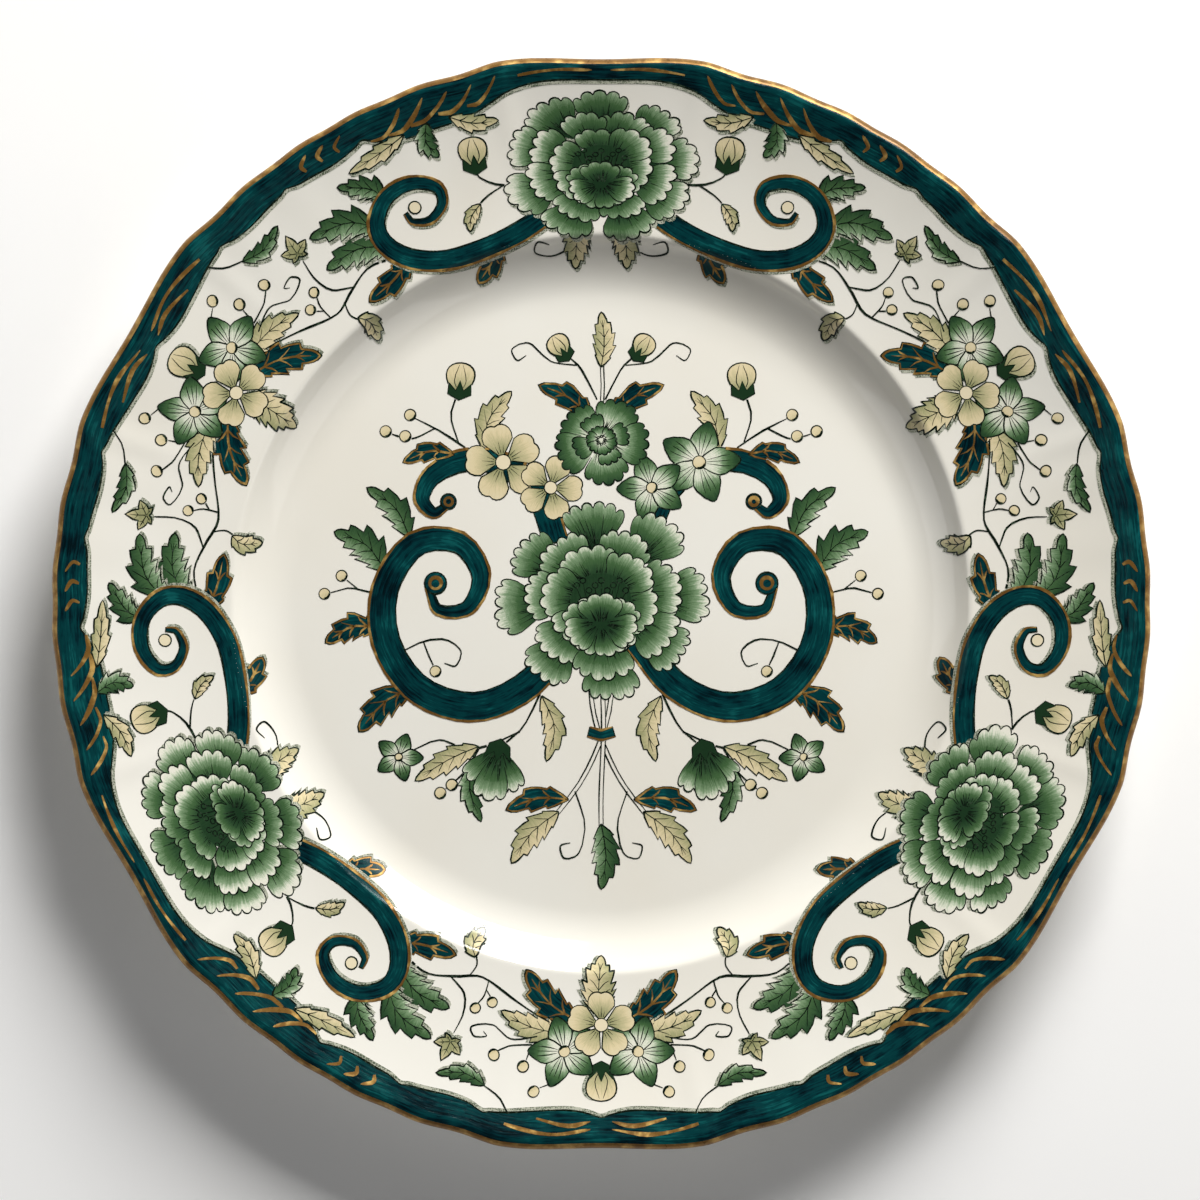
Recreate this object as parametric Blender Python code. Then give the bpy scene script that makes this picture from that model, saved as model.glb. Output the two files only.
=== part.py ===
"""China dinner plate: a jiggered clay body with its glaze, border enamel and gilt edge.

Metres, +Z up. The origin is the centre of the circle on which the foot ring stands.
The fired layers are turned from one clay profile, each a constant distance outside the last,
so that they nest with a clear gap all round.
"""
import math

import bmesh
import bpy

MM = 0.001

# Driving dimensions of the clay body, in millimetres.
CLAY_RADIUS = 131.8        # average radius of the clay at the lobed edge
WELL_RADIUS = 75.0         # flat floor of the well
SHOULDER_RADIUS = 89.6     # edge where the well's cove meets the rim
FOOT_RADIUS = 77.0         # middle of the foot ring
FOOT_WIDTH = 3.4           # flat width that the plate stands on
FOOT_HEIGHT = 2.8          # recess inside the foot ring
BASE_THICKNESS = 4.2       # clay under the well
WELL_RISE = 7.5            # from the well floor to the shoulder
RIM_THICKNESS = 4.4        # clay just outside the shoulder
LIP_THICKNESS = 2.8        # clay at the edge, rounded over
RIM_TILT = math.radians(5.0)               # rim just outside the shoulder
LIP_TILT = math.radians(19.0)              # rim at the edge

# Fired layers on the clay, in millimetres.
LAYER_GAP = 0.3            # clearance between one layer and the next
GLAZE_THICKNESS = 0.4
ENAMEL_THICKNESS = 0.3
GILT_THICKNESS = 0.3
ENAMEL_WIDTH = 4.5
ENAMEL_MARGIN = 0.9        # glaze left bare between the enamel and the rounded edge
GILT_MARGIN = 0.4          # gold on the face, inside the rounded edge
FOOT_CLEARANCE = 1.2       # height of the foot ring's outer bevel
FOOT_BEVEL = 0.4
FOOT_FLARE = 0.9           # from the foot ring's flat to the glazed base
FOOT_SHOULDER = 1.3        # from the foot ring's flat out to the underside
BASE_GLAZE_RADIUS = 72.6   # glazed disc inside the foot ring

# The lobed edge: six shallow hollows with four small scallops between each pair of cusps.
LOBES = 6
HOLLOW_CENTRE = math.radians(30.0)         # direction of the first hollow
HOLLOW_HALF_ANGLE = math.radians(11.0)     # from a hollow's middle to its cusp
HOLLOW_DEPTH = 1.79
CUSP_HEIGHT = 0.65
SCALLOP_HEIGHT = 0.15
SCALLOP_WAVES = 2.5        # from a cusp to the middle of the lobe
SCALLOP_WARP = 1.15        # waves near the cusp are wider
CUSP_FADE = 0.2            # share of the lobe over which the cusp dies away

# Fineness of the turned solids.
STATIONS = 72
COVE_STEPS = 4
RIM_STEPS = 5
LIP_STEPS = 4

# Heights that follow from the sizes above.
WELL_HEIGHT = FOOT_HEIGHT + BASE_THICKNESS
SHOULDER_HEIGHT = WELL_HEIGHT + WELL_RISE
COVE_RUN = SHOULDER_RADIUS - WELL_RADIUS
COVE_ARC = (COVE_RUN**2 + WELL_RISE**2) / (2 * WELL_RISE)
LIP_RADIUS = CLAY_RADIUS - LIP_THICKNESS / 2 * (1 + math.sin(LIP_TILT))    # start of the rounding
RIM_RUN = LIP_RADIUS - SHOULDER_RADIUS
RIM_SLOPE = math.tan(RIM_TILT)
RIM_CURVE = (math.tan(LIP_TILT) - RIM_SLOPE) / (2 * RIM_RUN)


def face_height(radius):
    """Height of the clay's upper face at a radius."""
    if radius <= WELL_RADIUS:
        return WELL_HEIGHT
    if radius <= SHOULDER_RADIUS:
        run = radius - WELL_RADIUS
        return WELL_HEIGHT + COVE_ARC - math.sqrt(COVE_ARC**2 - run**2)
    run = radius - SHOULDER_RADIUS
    return SHOULDER_HEIGHT + RIM_SLOPE * run + RIM_CURVE * run**2


def rim_slope(radius):
    """Slope of the rim's upper face at a radius outside the shoulder."""
    return RIM_SLOPE + 2 * RIM_CURVE * (radius - SHOULDER_RADIUS)


def rim_thickness(radius):
    """Clay thickness of the rim, which tapers towards the edge."""
    share = (radius - SHOULDER_RADIUS) / RIM_RUN
    return RIM_THICKNESS + (LIP_THICKNESS - RIM_THICKNESS) * share


def steps(first, last, count):
    """Evenly spaced values from first to last, both included."""
    return [first + (last - first) * step / count for step in range(count + 1)]


def face_path():
    """Upper face from the axis to the edge, as (radius, height) points."""
    path = [(0.0, WELL_HEIGHT)]
    for radius in steps(WELL_RADIUS, SHOULDER_RADIUS, COVE_STEPS):
        path.append((radius, face_height(radius)))
    for radius in steps(SHOULDER_RADIUS, LIP_RADIUS, RIM_STEPS)[1:]:
        path.append((radius, face_height(radius)))
    return path


def lip_path():
    """The rounded edge, between the upper face and the underside."""
    half = LIP_THICKNESS / 2
    centre_r = LIP_RADIUS + half * math.sin(LIP_TILT)
    centre_z = face_height(LIP_RADIUS) - half * math.cos(LIP_TILT)
    path = []
    for angle in steps(LIP_TILT + math.pi / 2, LIP_TILT - math.pi / 2, LIP_STEPS)[1:-1]:
        path.append((centre_r + half * math.cos(angle), centre_z + half * math.sin(angle)))
    return path


def underside_path():
    """Underside of the rim and cove, from the edge in to the top of the foot ring."""
    path = []
    for radius in steps(LIP_RADIUS, SHOULDER_RADIUS, RIM_STEPS):
        tilt = math.atan(rim_slope(radius))
        depth = rim_thickness(radius)
        path.append((radius + depth * math.sin(tilt), face_height(radius) - depth * math.cos(tilt)))
    path.append((FOOT_RADIUS + FOOT_WIDTH / 2 + FOOT_SHOULDER, FOOT_HEIGHT))
    return path


def foot_path():
    """Foot ring, from its outer side round to its inner side."""
    outer = FOOT_RADIUS + FOOT_WIDTH / 2
    inner = FOOT_RADIUS - FOOT_WIDTH / 2
    return [(outer + FOOT_BEVEL, FOOT_CLEARANCE), (outer, 0.0), (inner, 0.0),
            (inner - FOOT_FLARE, FOOT_HEIGHT)]


def offset(path, distance):
    """Move a path outwards from the clay, which lies to the right of its direction."""
    moved = []
    for index, (radius, height) in enumerate(path):
        before = path[max(index - 1, 0)]
        after = path[min(index + 1, len(path) - 1)]
        normals = []
        for start, end in ((before, (radius, height)), ((radius, height), after)):
            length = math.dist(start, end)
            if length > 0.0:
                normals.append(((start[1] - end[1]) / length, (end[0] - start[0]) / length))
        nr = sum(normal[0] for normal in normals) / len(normals)
        nz = sum(normal[1] for normal in normals) / len(normals)
        share = distance / (nr**2 + nz**2)
        on_axis = radius == 0.0
        moved.append((0.0 if on_axis else radius + nr * share, height + nz * share))
    return moved


def edge_shift(angle):
    """How far the lobed edge lies outside its average radius, in a direction."""
    pitch = 2 * math.pi / LOBES
    turn = abs((angle - HOLLOW_CENTRE + pitch / 2) % pitch - pitch / 2)
    cusp = CUSP_HEIGHT
    if turn < HOLLOW_HALF_ANGLE:
        return cusp - HOLLOW_DEPTH * (0.5 + 0.5 * math.cos(math.pi * turn / HOLLOW_HALF_ANGLE))
    share = (turn - HOLLOW_HALF_ANGLE) / (pitch / 2 - HOLLOW_HALF_ANGLE)
    height = SCALLOP_HEIGHT + (cusp - SCALLOP_HEIGHT) * math.exp(-share / CUSP_FADE)
    return height * math.cos(2 * math.pi * SCALLOP_WAVES * share**SCALLOP_WARP)


def lobe_share(radius):
    """Part of the edge's shift that the rim takes up at a radius, from none to all."""
    share = min(max((radius - SHOULDER_RADIUS) / RIM_RUN, 0.0), 1.0)
    return share * share * (3 - 2 * share)


def place(radius, height, angle):
    """Point of the plate at a radius and height of the profile, in metres."""
    spread = radius + edge_shift(angle) * lobe_share(radius)
    return (spread * math.cos(angle) * MM, spread * math.sin(angle) * MM, height * MM)


def turn_solid(name, loop, material):
    """Turn a closed profile about Z, its points running clockwise with +Z up.

    A point on the axis closes the solid with a fan.
    """
    mesh = bpy.data.meshes.new(name)
    form = bmesh.new()
    rings = []
    for radius, height in loop:
        if radius == 0.0:
            rings.append([form.verts.new((0.0, 0.0, height * MM))])
            continue
        ring = []
        for station in range(STATIONS):
            ring.append(form.verts.new(place(radius, height, 2 * math.pi * station / STATIONS)))
        rings.append(ring)
    for first, second in zip(rings, rings[1:] + rings[:1]):
        if len(first) == 1 and len(second) == 1:
            continue
        for station in range(STATIONS):
            after = (station + 1) % STATIONS
            if len(first) == 1:
                form.faces.new((first[0], second[station], second[after]))
            elif len(second) == 1:
                form.faces.new((first[station], second[0], first[after]))
            else:
                form.faces.new((first[station], second[station], second[after], first[after]))
    form.to_mesh(mesh)
    form.free()
    mesh.shade_smooth()
    mesh.set_sharp_from_angle(angle=math.radians(35.0))
    mesh.materials.append(material)
    solid = bpy.data.objects.new(name, mesh)
    bpy.context.scene.collection.objects.link(solid)
    return solid


def finish(name, color, roughness, metallic=0.0):
    """Principled material of one layer."""
    material = bpy.data.materials.new(name)
    material.use_nodes = True
    shader = material.node_tree.nodes["Principled BSDF"]
    shader.inputs["Base Color"].default_value = (*color, 1.0)
    shader.inputs["Roughness"].default_value = roughness
    shader.inputs["Metallic"].default_value = metallic
    return material


def between(path, inner, outer):
    """The stretch of a path between two radii, with its ends cut to those radii."""
    stretch = []
    for start, end in zip(path, path[1:]):
        for radius in (inner, outer):
            if min(start[0], end[0]) < radius < max(start[0], end[0]):
                share = (radius - start[0]) / (end[0] - start[0])
                stretch.append((radius, start[1] + (end[1] - start[1]) * share))
        if inner < end[0] < outer:
            stretch.append(end)
    return sorted(stretch)


def layer(path, gap, thickness):
    """Closed profile of a layer that starts a gap off a path and has a thickness."""
    outside = offset(path, gap + thickness)
    inside = offset(path, gap)
    return outside + inside[::-1]


def build_body():
    """Clay body with its well, cove, rim and foot ring, jiggered in one piece."""
    loop = face_path() + lip_path() + underside_path() + foot_path() + [(0.0, FOOT_HEIGHT)]
    return turn_solid("ironstone_body", loop, finish("ironstone_clay", (0.76, 0.70, 0.58), 0.75))


def build_face_glaze():
    """Glaze over the upper face, round the edge and under the rim to the foot ring."""
    path = face_path() + lip_path() + underside_path()
    return turn_solid("face_glaze", layer(path, LAYER_GAP, GLAZE_THICKNESS),
                      finish("ivory_glaze", (0.84, 0.81, 0.72), 0.08))


def build_base_glaze():
    """Glaze on the recessed base inside the foot ring."""
    under = FOOT_HEIGHT - LAYER_GAP
    lower = under - GLAZE_THICKNESS
    loop = [(0.0, under), (BASE_GLAZE_RADIUS, under), (BASE_GLAZE_RADIUS, lower), (0.0, lower)]
    return turn_solid("base_glaze", loop, finish("base_glaze", (0.80, 0.77, 0.68), 0.12))


def build_border_enamel():
    """Band of blue-green enamel fired on the glaze just inside the edge."""
    glaze = LAYER_GAP + GLAZE_THICKNESS
    outer = LIP_RADIUS - ENAMEL_MARGIN
    path = between(face_path(), outer - ENAMEL_WIDTH, outer)
    return turn_solid("border_enamel", layer(path, glaze + LAYER_GAP, ENAMEL_THICKNESS),
                      finish("border_enamel", (0.004, 0.035, 0.051), 0.14))


def build_gilt_edge():
    """Gold fired round the lip."""
    glaze = LAYER_GAP + GLAZE_THICKNESS
    start = LIP_RADIUS - GILT_MARGIN
    path = [(start, face_height(start)), face_path()[-1]] + lip_path() + underside_path()[:1]
    return turn_solid("gilt_edge", layer(path, glaze + LAYER_GAP, GILT_THICKNESS),
                      finish("gilt_edge", (0.39, 0.17, 0.045), 0.25, 1.0))


def clear_scene():
    """Remove whatever objects the scene already holds."""
    for old in list(bpy.data.objects):
        bpy.data.objects.remove(old, do_unlink=True)


def main():
    """Build the plate's clay body and fired layers."""
    clear_scene()
    build_body()
    build_face_glaze()
    build_base_glaze()
    build_border_enamel()
    build_gilt_edge()


main()
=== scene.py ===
"""Looks of a china dinner plate: turned glaze, foot and gilt lip, and a fired pattern laid on it.

The plate is turned by Geometry Nodes from a profile. Its pattern is drawn flat, in millimetres
in the plane of the plate, as washes that hide what lies under them and lines of ink and gold.
Geometry Nodes then repeat it, drape it over the glaze and give it its fired thickness.
"""
import logging
import math
import random
from collections.abc import Callable, Sequence
from dataclasses import dataclass, field, replace
from enum import Enum

import bpy
import numpy as np
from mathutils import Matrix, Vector
from mathutils.geometry import delaunay_2d_cdt


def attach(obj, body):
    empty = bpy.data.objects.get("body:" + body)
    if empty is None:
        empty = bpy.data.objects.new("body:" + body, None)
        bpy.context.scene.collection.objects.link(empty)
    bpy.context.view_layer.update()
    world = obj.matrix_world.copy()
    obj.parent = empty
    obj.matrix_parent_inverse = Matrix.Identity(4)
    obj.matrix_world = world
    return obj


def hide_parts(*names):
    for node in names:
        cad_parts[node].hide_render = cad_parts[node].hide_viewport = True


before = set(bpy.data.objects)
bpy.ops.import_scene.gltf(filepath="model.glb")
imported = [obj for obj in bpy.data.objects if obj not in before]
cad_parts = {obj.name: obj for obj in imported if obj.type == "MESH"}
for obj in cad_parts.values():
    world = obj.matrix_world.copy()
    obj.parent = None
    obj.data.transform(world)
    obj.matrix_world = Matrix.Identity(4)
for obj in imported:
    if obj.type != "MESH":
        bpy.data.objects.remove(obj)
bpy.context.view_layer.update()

LOG = logging.getLogger("dinner_plate")
MM = 0.001
WASH = "wash"              # UV map that the washes follow: along and across each brushed shape
HALF_WIDTH = "half_width"  # half the width of a drawn line, in metres

Points = np.ndarray
Grade = Callable[[Points], Points]
Spot = Sequence[float]
Pair = tuple[float, float]
Profile = list[Pair]
Socket = bpy.types.NodeSocket
Mesh = bpy.types.Mesh
Material = bpy.types.Material
Piece = bpy.types.Object
Plugs = dict[str | int, object]

GLAZE_WELD = 2e-6     # metres within which a turned piece's points are one
ART_WELD = 2.5e-6     # the same for the flat artwork's repeats
SOLID_WELD = 1e-7     # and for the top, walls and back of a film
RAY_START = 0.1       # height in metres from which artwork is dropped on the glaze


class Tone(Enum):
    """What a drawn shape is made of. The value is the record's material slot."""

    BARE = ""
    SHADE = "shade"
    GREEN = "green_wash"
    YELLOW = "yellow_wash"
    ENAMEL = "enamel"
    GILT = "gilt"
    PRINT = "print"


class Region(Enum):
    """A part of the pattern, with how often it repeats round the plate."""

    RIM = 3
    CENTRE = 1


class Leaf(Enum):
    """A kind of leaf.

    Its wash, teeth to a side, their depth as a share of its width, fullness towards its
    stalk, and veins to a side.
    """

    FRINGE_STRAW = (Tone.YELLOW, 4, 0.3, 0.82, 3)
    RUNNER_STRAW = (Tone.YELLOW, 4, 0.28, 0.82, 3)
    BUD_STRAW = (Tone.YELLOW, 4, 0.25, 0.85, 3)
    PEONY_STRAW = (Tone.YELLOW, 6, 0.3, 0.8, 4)
    GROUP_STRAW = (Tone.YELLOW, 6, 0.3, 0.82, 4)
    GROUP_TAIL = (Tone.YELLOW, 7, 0.3, 0.8, 5)
    WELL_STRAW = (Tone.YELLOW, 5, 0.28, 0.82, 4)
    WELL_STRAW_SMALL = (Tone.YELLOW, 5, 0.28, 0.82, 3)
    FRINGE_GREEN = (Tone.GREEN, 5, 0.4, 0.78, 3)
    SPRIG_GREEN = (Tone.GREEN, 4, 0.36, 0.78, 3)
    SCROLL_GREEN = (Tone.GREEN, 5, 0.42, 0.75, 4)
    WELL_GREEN = (Tone.GREEN, 5, 0.4, 0.75, 4)
    WELL_GREEN_SMALL = (Tone.GREEN, 4, 0.4, 0.75, 3)
    WELL_TAIL = (Tone.GREEN, 5, 0.3, 0.8, 4)
    HANGING_GREEN = (Tone.GREEN, 5, 0.36, 0.78, 3)
    SCROLL_GILT = (Tone.ENAMEL, 3, 0.32, 0.85, 2)
    WELL_GILT = (Tone.ENAMEL, 3, 0.3, 0.85, 2)
    LARGE_GILT = (Tone.ENAMEL, 4, 0.34, 0.85, 3)


def stand(name: str, data: bpy.types.ID) -> Piece:
    """A new object that stands in the scene."""
    piece = bpy.data.objects.new(name, data)
    bpy.context.scene.collection.objects.link(piece)
    return piece


# ---- node trees


class Tree:
    """Base of the node trees: adds nodes and wires them in one call each."""

    def __init__(self, group: bpy.types.NodeTree) -> None:
        """Wrap a node tree.

        Args:
            group: The tree to fill.
        """
        self.group = group

    def wire(self, socket: Socket, value: object) -> None:
        """Link a socket to another node's output, or set it to a constant.

        Args:
            socket: The input to feed.
            value: An output socket or a constant.
        """
        if isinstance(value, Socket):
            self.group.links.new(value, socket)
        else:
            socket.default_value = value

    def add(self, kind: str, plugs: Plugs | None = None, **settings: object) -> bpy.types.Node:
        """Add a node.

        Args:
            kind: The node's type name.
            plugs: Input sockets by name or place, with what feeds them.
            **settings: Properties of the node, such as its mode.

        Returns:
            The node.
        """
        node = self.group.nodes.new(kind)
        for name, value in settings.items():
            setattr(node, name, value)
        for key, value in (plugs or {}).items():
            self.wire(node.inputs[key], value)
        return node

    def out(self, kind: str, plugs: Plugs | None = None, **settings: object) -> Socket:
        """Add a node and return its first output."""
        return self.add(kind, plugs, **settings).outputs[0]

    def math(self, operation: str, *values: object) -> Socket:
        """Add a Math node.

        Args:
            operation: Its operation.
            *values: Its inputs in order.

        Returns:
            Its result.
        """
        plugs = dict(enumerate(values))
        return self.out("ShaderNodeMath", plugs, operation=operation)

    def times(self, first: object, second: object) -> Socket:
        """Product of two numbers."""
        return self.math("MULTIPLY", first, second)

    def between(self, value: Socket, low: float, high: float, first: float = 0.0,
                last: float = 1.0) -> Socket:
        """A value's range low to high, smoothly spread over first to last."""
        return self.out("ShaderNodeMapRange", {"Value": value, "From Min": low, "From Max": high,
                                               "To Min": first, "To Max": last},
                        interpolation_type="SMOOTHSTEP")


class FormTree(Tree):
    """A Geometry Nodes tree with named inputs."""

    def __init__(self, name: str, inputs: dict[str, str]) -> None:
        """Make the tree and its sockets.

        Args:
            name: The tree's name.
            inputs: Input labels with their socket types.
        """
        super().__init__(bpy.data.node_groups.new(name, "GeometryNodeTree"))
        face = self.group.interface
        face.new_socket("Geometry", in_out="INPUT", socket_type="NodeSocketGeometry")
        for label, kind in inputs.items():
            face.new_socket(label, in_out="INPUT", socket_type=kind)
        face.new_socket("Geometry", in_out="OUTPUT", socket_type="NodeSocketGeometry")
        self.entry = self.group.nodes.new("NodeGroupInput")
        self.exit = self.group.nodes.new("NodeGroupOutput")

    def __getitem__(self, label: str) -> Socket:
        """The socket of a named input."""
        return self.entry.outputs[label]

    def finish(self, geometry: Socket) -> None:
        """End the tree in Realize Instances and Set Material.

        Args:
            geometry: What the tree has made.
        """
        real = self.out("GeometryNodeRealizeInstances", {"Geometry": geometry})
        dressed = self.out("GeometryNodeSetMaterial", {"Geometry": real, "Material": self["Material"]})
        self.wire(self.exit.inputs[0], dressed)

    def run(self, name: str, source: Mesh, values: dict[str, object]) -> Piece:
        """Grow a plain mesh piece from a source mesh.

        Args:
            name: The piece's name.
            source: The mesh that the tree starts from.
            values: The tree's inputs by label.

        Returns:
            The piece, with no modifier left on it.
        """
        seed = stand(name + "_seed", source)
        modifier = seed.modifiers.new("grow", "NODES")
        modifier.node_group = self.group
        for item in self.group.interface.items_tree:
            if item.in_out == "INPUT" and item.name in values:
                modifier[item.identifier] = values[item.name]
        seed.update_tag()
        graph = bpy.context.evaluated_depsgraph_get()
        mesh = bpy.data.meshes.new_from_object(seed.evaluated_get(graph), depsgraph=graph)
        seed.modifiers.remove(modifier)
        bpy.data.objects.remove(seed, do_unlink=True)
        mesh.name = name
        mesh.materials.clear()
        mesh.materials.append(values["Material"])
        mesh.polygons.foreach_set("material_index", [0] * len(mesh.polygons))
        return stand(name, mesh)


# ---- the plate's form


@dataclass(frozen=True)
class Lobes:
    """The softly lobed edge: shallow hollows with cusps and small scallops between them."""

    count: int = 6
    first: float = math.radians(30.0)
    half_angle: float = math.radians(11.0)
    hollow: float = 1.79
    cusp: float = 0.65
    scallop: float = 0.15
    waves: float = 2.5
    warp: float = 1.15
    fade: float = 0.2
    crease: float = 0.32
    crease_angle: float = math.radians(1.3)

    def shift(self, tree: FormTree, angle: Socket) -> Socket:
        """How far the edge lies outside its average radius, in millimetres.

        Args:
            tree: The tree to build in.
            angle: Direction about the plate's axis.

        Returns:
            The shift.
        """
        pitch = math.tau / self.count
        turn = self.turn(tree, angle)
        dip = tree.math("COSINE", tree.times(turn, math.pi / self.half_angle))
        hollow = tree.math("MULTIPLY_ADD", dip, -self.hollow / 2, self.cusp - self.hollow / 2)
        share = tree.math("DIVIDE", tree.math("SUBTRACT", turn, self.half_angle),
                          pitch / 2 - self.half_angle)
        share = tree.math("MAXIMUM", share, 0.0)
        tall = tree.math("EXPONENT", tree.math("DIVIDE", share, -self.fade))
        tall = tree.math("MULTIPLY_ADD", tall, self.cusp - self.scallop, self.scallop)
        phase = tree.times(tree.math("POWER", share, self.warp), math.tau * self.waves)
        wave = tree.times(tall, tree.math("COSINE", phase))
        in_hollow = tree.math("LESS_THAN", turn, self.half_angle)
        return tree.out("ShaderNodeMix", {"Factor": in_hollow, 2: wave, 3: hollow})

    def turn(self, tree: FormTree, angle: Socket) -> Socket:
        """Angle from the nearest hollow's middle."""
        pitch = math.tau / self.count
        turned = tree.math("ADD", angle, pitch / 2 - self.first)
        folded = tree.math("SUBTRACT", tree.math("FLOORED_MODULO", turned, pitch), pitch / 2)
        return tree.math("ABSOLUTE", folded)

    def ridge(self, tree: FormTree, angle: Socket) -> Socket:
        """Height of the soft crease that runs in from each cusp, in millimetres."""
        off = tree.math("SUBTRACT", self.turn(tree, angle), self.half_angle)
        scaled = tree.math("POWER", tree.math("DIVIDE", off, self.crease_angle), 2.0)
        return tree.times(tree.math("EXPONENT", tree.times(scaled, -1.0)), self.crease)


@dataclass(frozen=True)
class PlateForm:
    """Finished surface of the plate, in millimetres, glaze included."""

    lobes: Lobes = Lobes()
    well_radius: float = 75.0
    shoulder_radius: float = 89.6
    well_height: float = 7.7
    well_rise: float = 7.5
    shoulder_round: float = 0.45
    lip_radius: float = 130.15
    lip_thickness: float = 4.2
    rim_thickness: float = 5.8
    rim_slope: float = math.tan(math.radians(5.0))
    lip_tilt: float = math.radians(19.0)
    foot_radius: float = 77.0
    foot_half_width: float = 1.7
    foot_height: float = 2.4
    stations: int = 540

    def height(self, radius: Points) -> Points:
        """Height of the upper face.

        Args:
            radius: Radii on the profile.

        Returns:
            Heights above the foot.
        """
        radius = np.asarray(radius, float)
        span = self.shoulder_radius - self.well_radius
        arc = (span**2 + self.well_rise**2) / (2 * self.well_rise)
        run = np.clip(radius - self.well_radius, 0.0, arc * 0.999)
        past = np.maximum(radius - self.well_radius - arc * 0.999, 0.0)
        cove = self.well_height + arc - np.sqrt(arc**2 - run**2) + 4.0 * past
        out = radius - self.shoulder_radius
        reach = self.lip_radius - self.shoulder_radius
        curve = (math.tan(self.lip_tilt) - self.rim_slope) / (2 * reach)
        rim = self.well_height + self.well_rise + self.rim_slope * out + curve * out * abs(out)
        soft = self.shoulder_round
        blend = -soft * np.logaddexp(-cove / soft, -rim / soft)
        return np.where(radius < self.well_radius, self.well_height, blend)

    def face(self) -> Profile:
        """Profile of the upper face, from the axis to where the lip's rounding starts."""
        floor = [0.0, 8.0, 20.0, 32.0, 44.0, 56.0, 66.0]
        cove = list(np.arange(self.well_radius - 3.0, self.shoulder_radius - 2.4, 0.9))
        shoulder = list(np.arange(cove[-1] + 0.3, self.shoulder_radius + 2.9, 0.3))
        rim = list(np.linspace(shoulder[-1] + 1.0, self.lip_radius, 22))
        radii = floor + cove + shoulder + rim
        return [(radius, float(self.height(radius))) for radius in radii]

    def lip_point(self, angle: float, proud: float = 0.0) -> Pair:
        """Point on the lip's rounding.

        Args:
            angle: Direction from the middle of the rounding, from level outwards.
            proud: Height above the glaze.

        Returns:
            Radius and height.
        """
        half = self.lip_thickness / 2
        radius = self.lip_radius + half * math.sin(self.lip_tilt)
        height = float(self.height(self.lip_radius)) - half * math.cos(self.lip_tilt)
        return (radius + (half + proud) * math.cos(angle), height + (half + proud) * math.sin(angle))

    def lip(self) -> Profile:
        """Profile of the rounded lip from the face to the underside, ends left out."""
        steps = 16
        first = math.pi / 2 + self.lip_tilt
        return [self.lip_point(first - math.pi * step / steps) for step in range(1, steps)]

    def underside(self) -> Profile:
        """Profile under the rim and cove, from the lip in to the foot ring."""
        points = []
        for radius in np.linspace(self.lip_radius, self.shoulder_radius + 1.2, 16):
            share = (self.lip_radius - radius) / (self.lip_radius - self.shoulder_radius)
            depth = self.lip_thickness + (self.rim_thickness - self.lip_thickness) * share
            tilt = math.atan(self.rim_slope + (math.tan(self.lip_tilt) - self.rim_slope) * (1 - share))
            points.append((radius + depth * math.sin(tilt),
                           float(self.height(radius)) - depth * math.cos(tilt)))
        outer = self.foot_radius + self.foot_half_width
        corner = points[-1]
        root = (outer + 1.4, self.foot_height + 0.1)
        for share in (0.3, 0.6, 0.85):
            swell = math.sin(math.pi * share)
            points.append((corner[0] + (root[0] - corner[0]) * share + 0.5 * swell,
                           corner[1] + (root[1] - corner[1]) * share - 0.8 * swell))
        points.append(root)
        return points

    def glaze_profile(self) -> Profile:
        """Closed-up profile of the glazed plate, without the bare foot ring."""
        mid = self.foot_radius
        half = self.foot_half_width
        top = self.foot_height
        bare = 0.5
        foot = [(half + 0.5, 1.4), (half + 0.3, bare), (0.4 - half, bare - 0.05), (-half - 0.3, bare),
                (-half - 0.5, 1.4), (-half - 1.4, top - 0.15), (-half - 3.0, top)]
        base = [(radius, top) for radius in (60.0, 40.0, 18.0, 0.0)]
        return (self.face() + self.lip() + self.underside()
                + [(mid + x, z) for x, z in foot] + base)

    def foot_profile(self) -> Profile:
        """Closed profile of the bare clay of the foot ring, its standing edges softened."""
        half = self.foot_half_width
        side = [(half, 0.9), (half, 0.4), (half - 0.1, 0.15), (half - 0.35, 0.0)]
        loop = [(self.foot_radius + x, z) for x, z in side]
        loop += [(self.foot_radius - x, z) for x, z in reversed(side)]
        return loop + loop[:1]

    def gilding_profile(self, first: float, last: float, proud: float) -> Profile:
        """Closed profile of the gold film round the lip.

        Args:
            first: Angle on the lip's rounding of its edge on the face.
            last: Angle of its edge on the underside.
            proud: Its height above the glaze.

        Returns:
            The profile, running outwards over the lip and back inside the glaze.
        """
        angles = np.linspace(first, last, 13)
        loop = [self.lip_point(angle, proud) for angle in angles]
        loop += [self.lip_point(angle, -proud) for angle in angles[::-1]]
        return loop + loop[:1]


def spread(tree: FormTree, form: PlateForm, radius: Socket,
           angle: Socket) -> tuple[Socket, Socket]:
    """Lobed radius and crease height of a point on the profile, in metres.

    Args:
        tree: The tree to build in.
        form: The plate's form.
        radius: Profile radius, in metres.
        angle: Direction about the axis.

    Returns:
        The point's radius and its height above the plain profile.
    """
    out = tree.math("SUBTRACT", radius, form.shoulder_radius * MM)
    share = tree.math("DIVIDE", out, (form.lip_radius - form.shoulder_radius) * MM)
    ramp = tree.between(share, 0.0, 1.0)
    shift = tree.times(form.lobes.shift(tree, angle), ramp)
    ridge = tree.times(form.lobes.ridge(tree, angle), ramp)
    return tree.math("MULTIPLY_ADD", shift, MM, radius), tree.times(ridge, MM)


def level_spot(tree: FormTree, radius: Socket, angle: Socket) -> dict[int, Socket]:
    """X and Y of a point at a radius and a direction about the axis."""
    return {0: tree.times(radius, tree.math("COSINE", angle)),
            1: tree.times(radius, tree.math("SINE", angle))}


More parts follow.
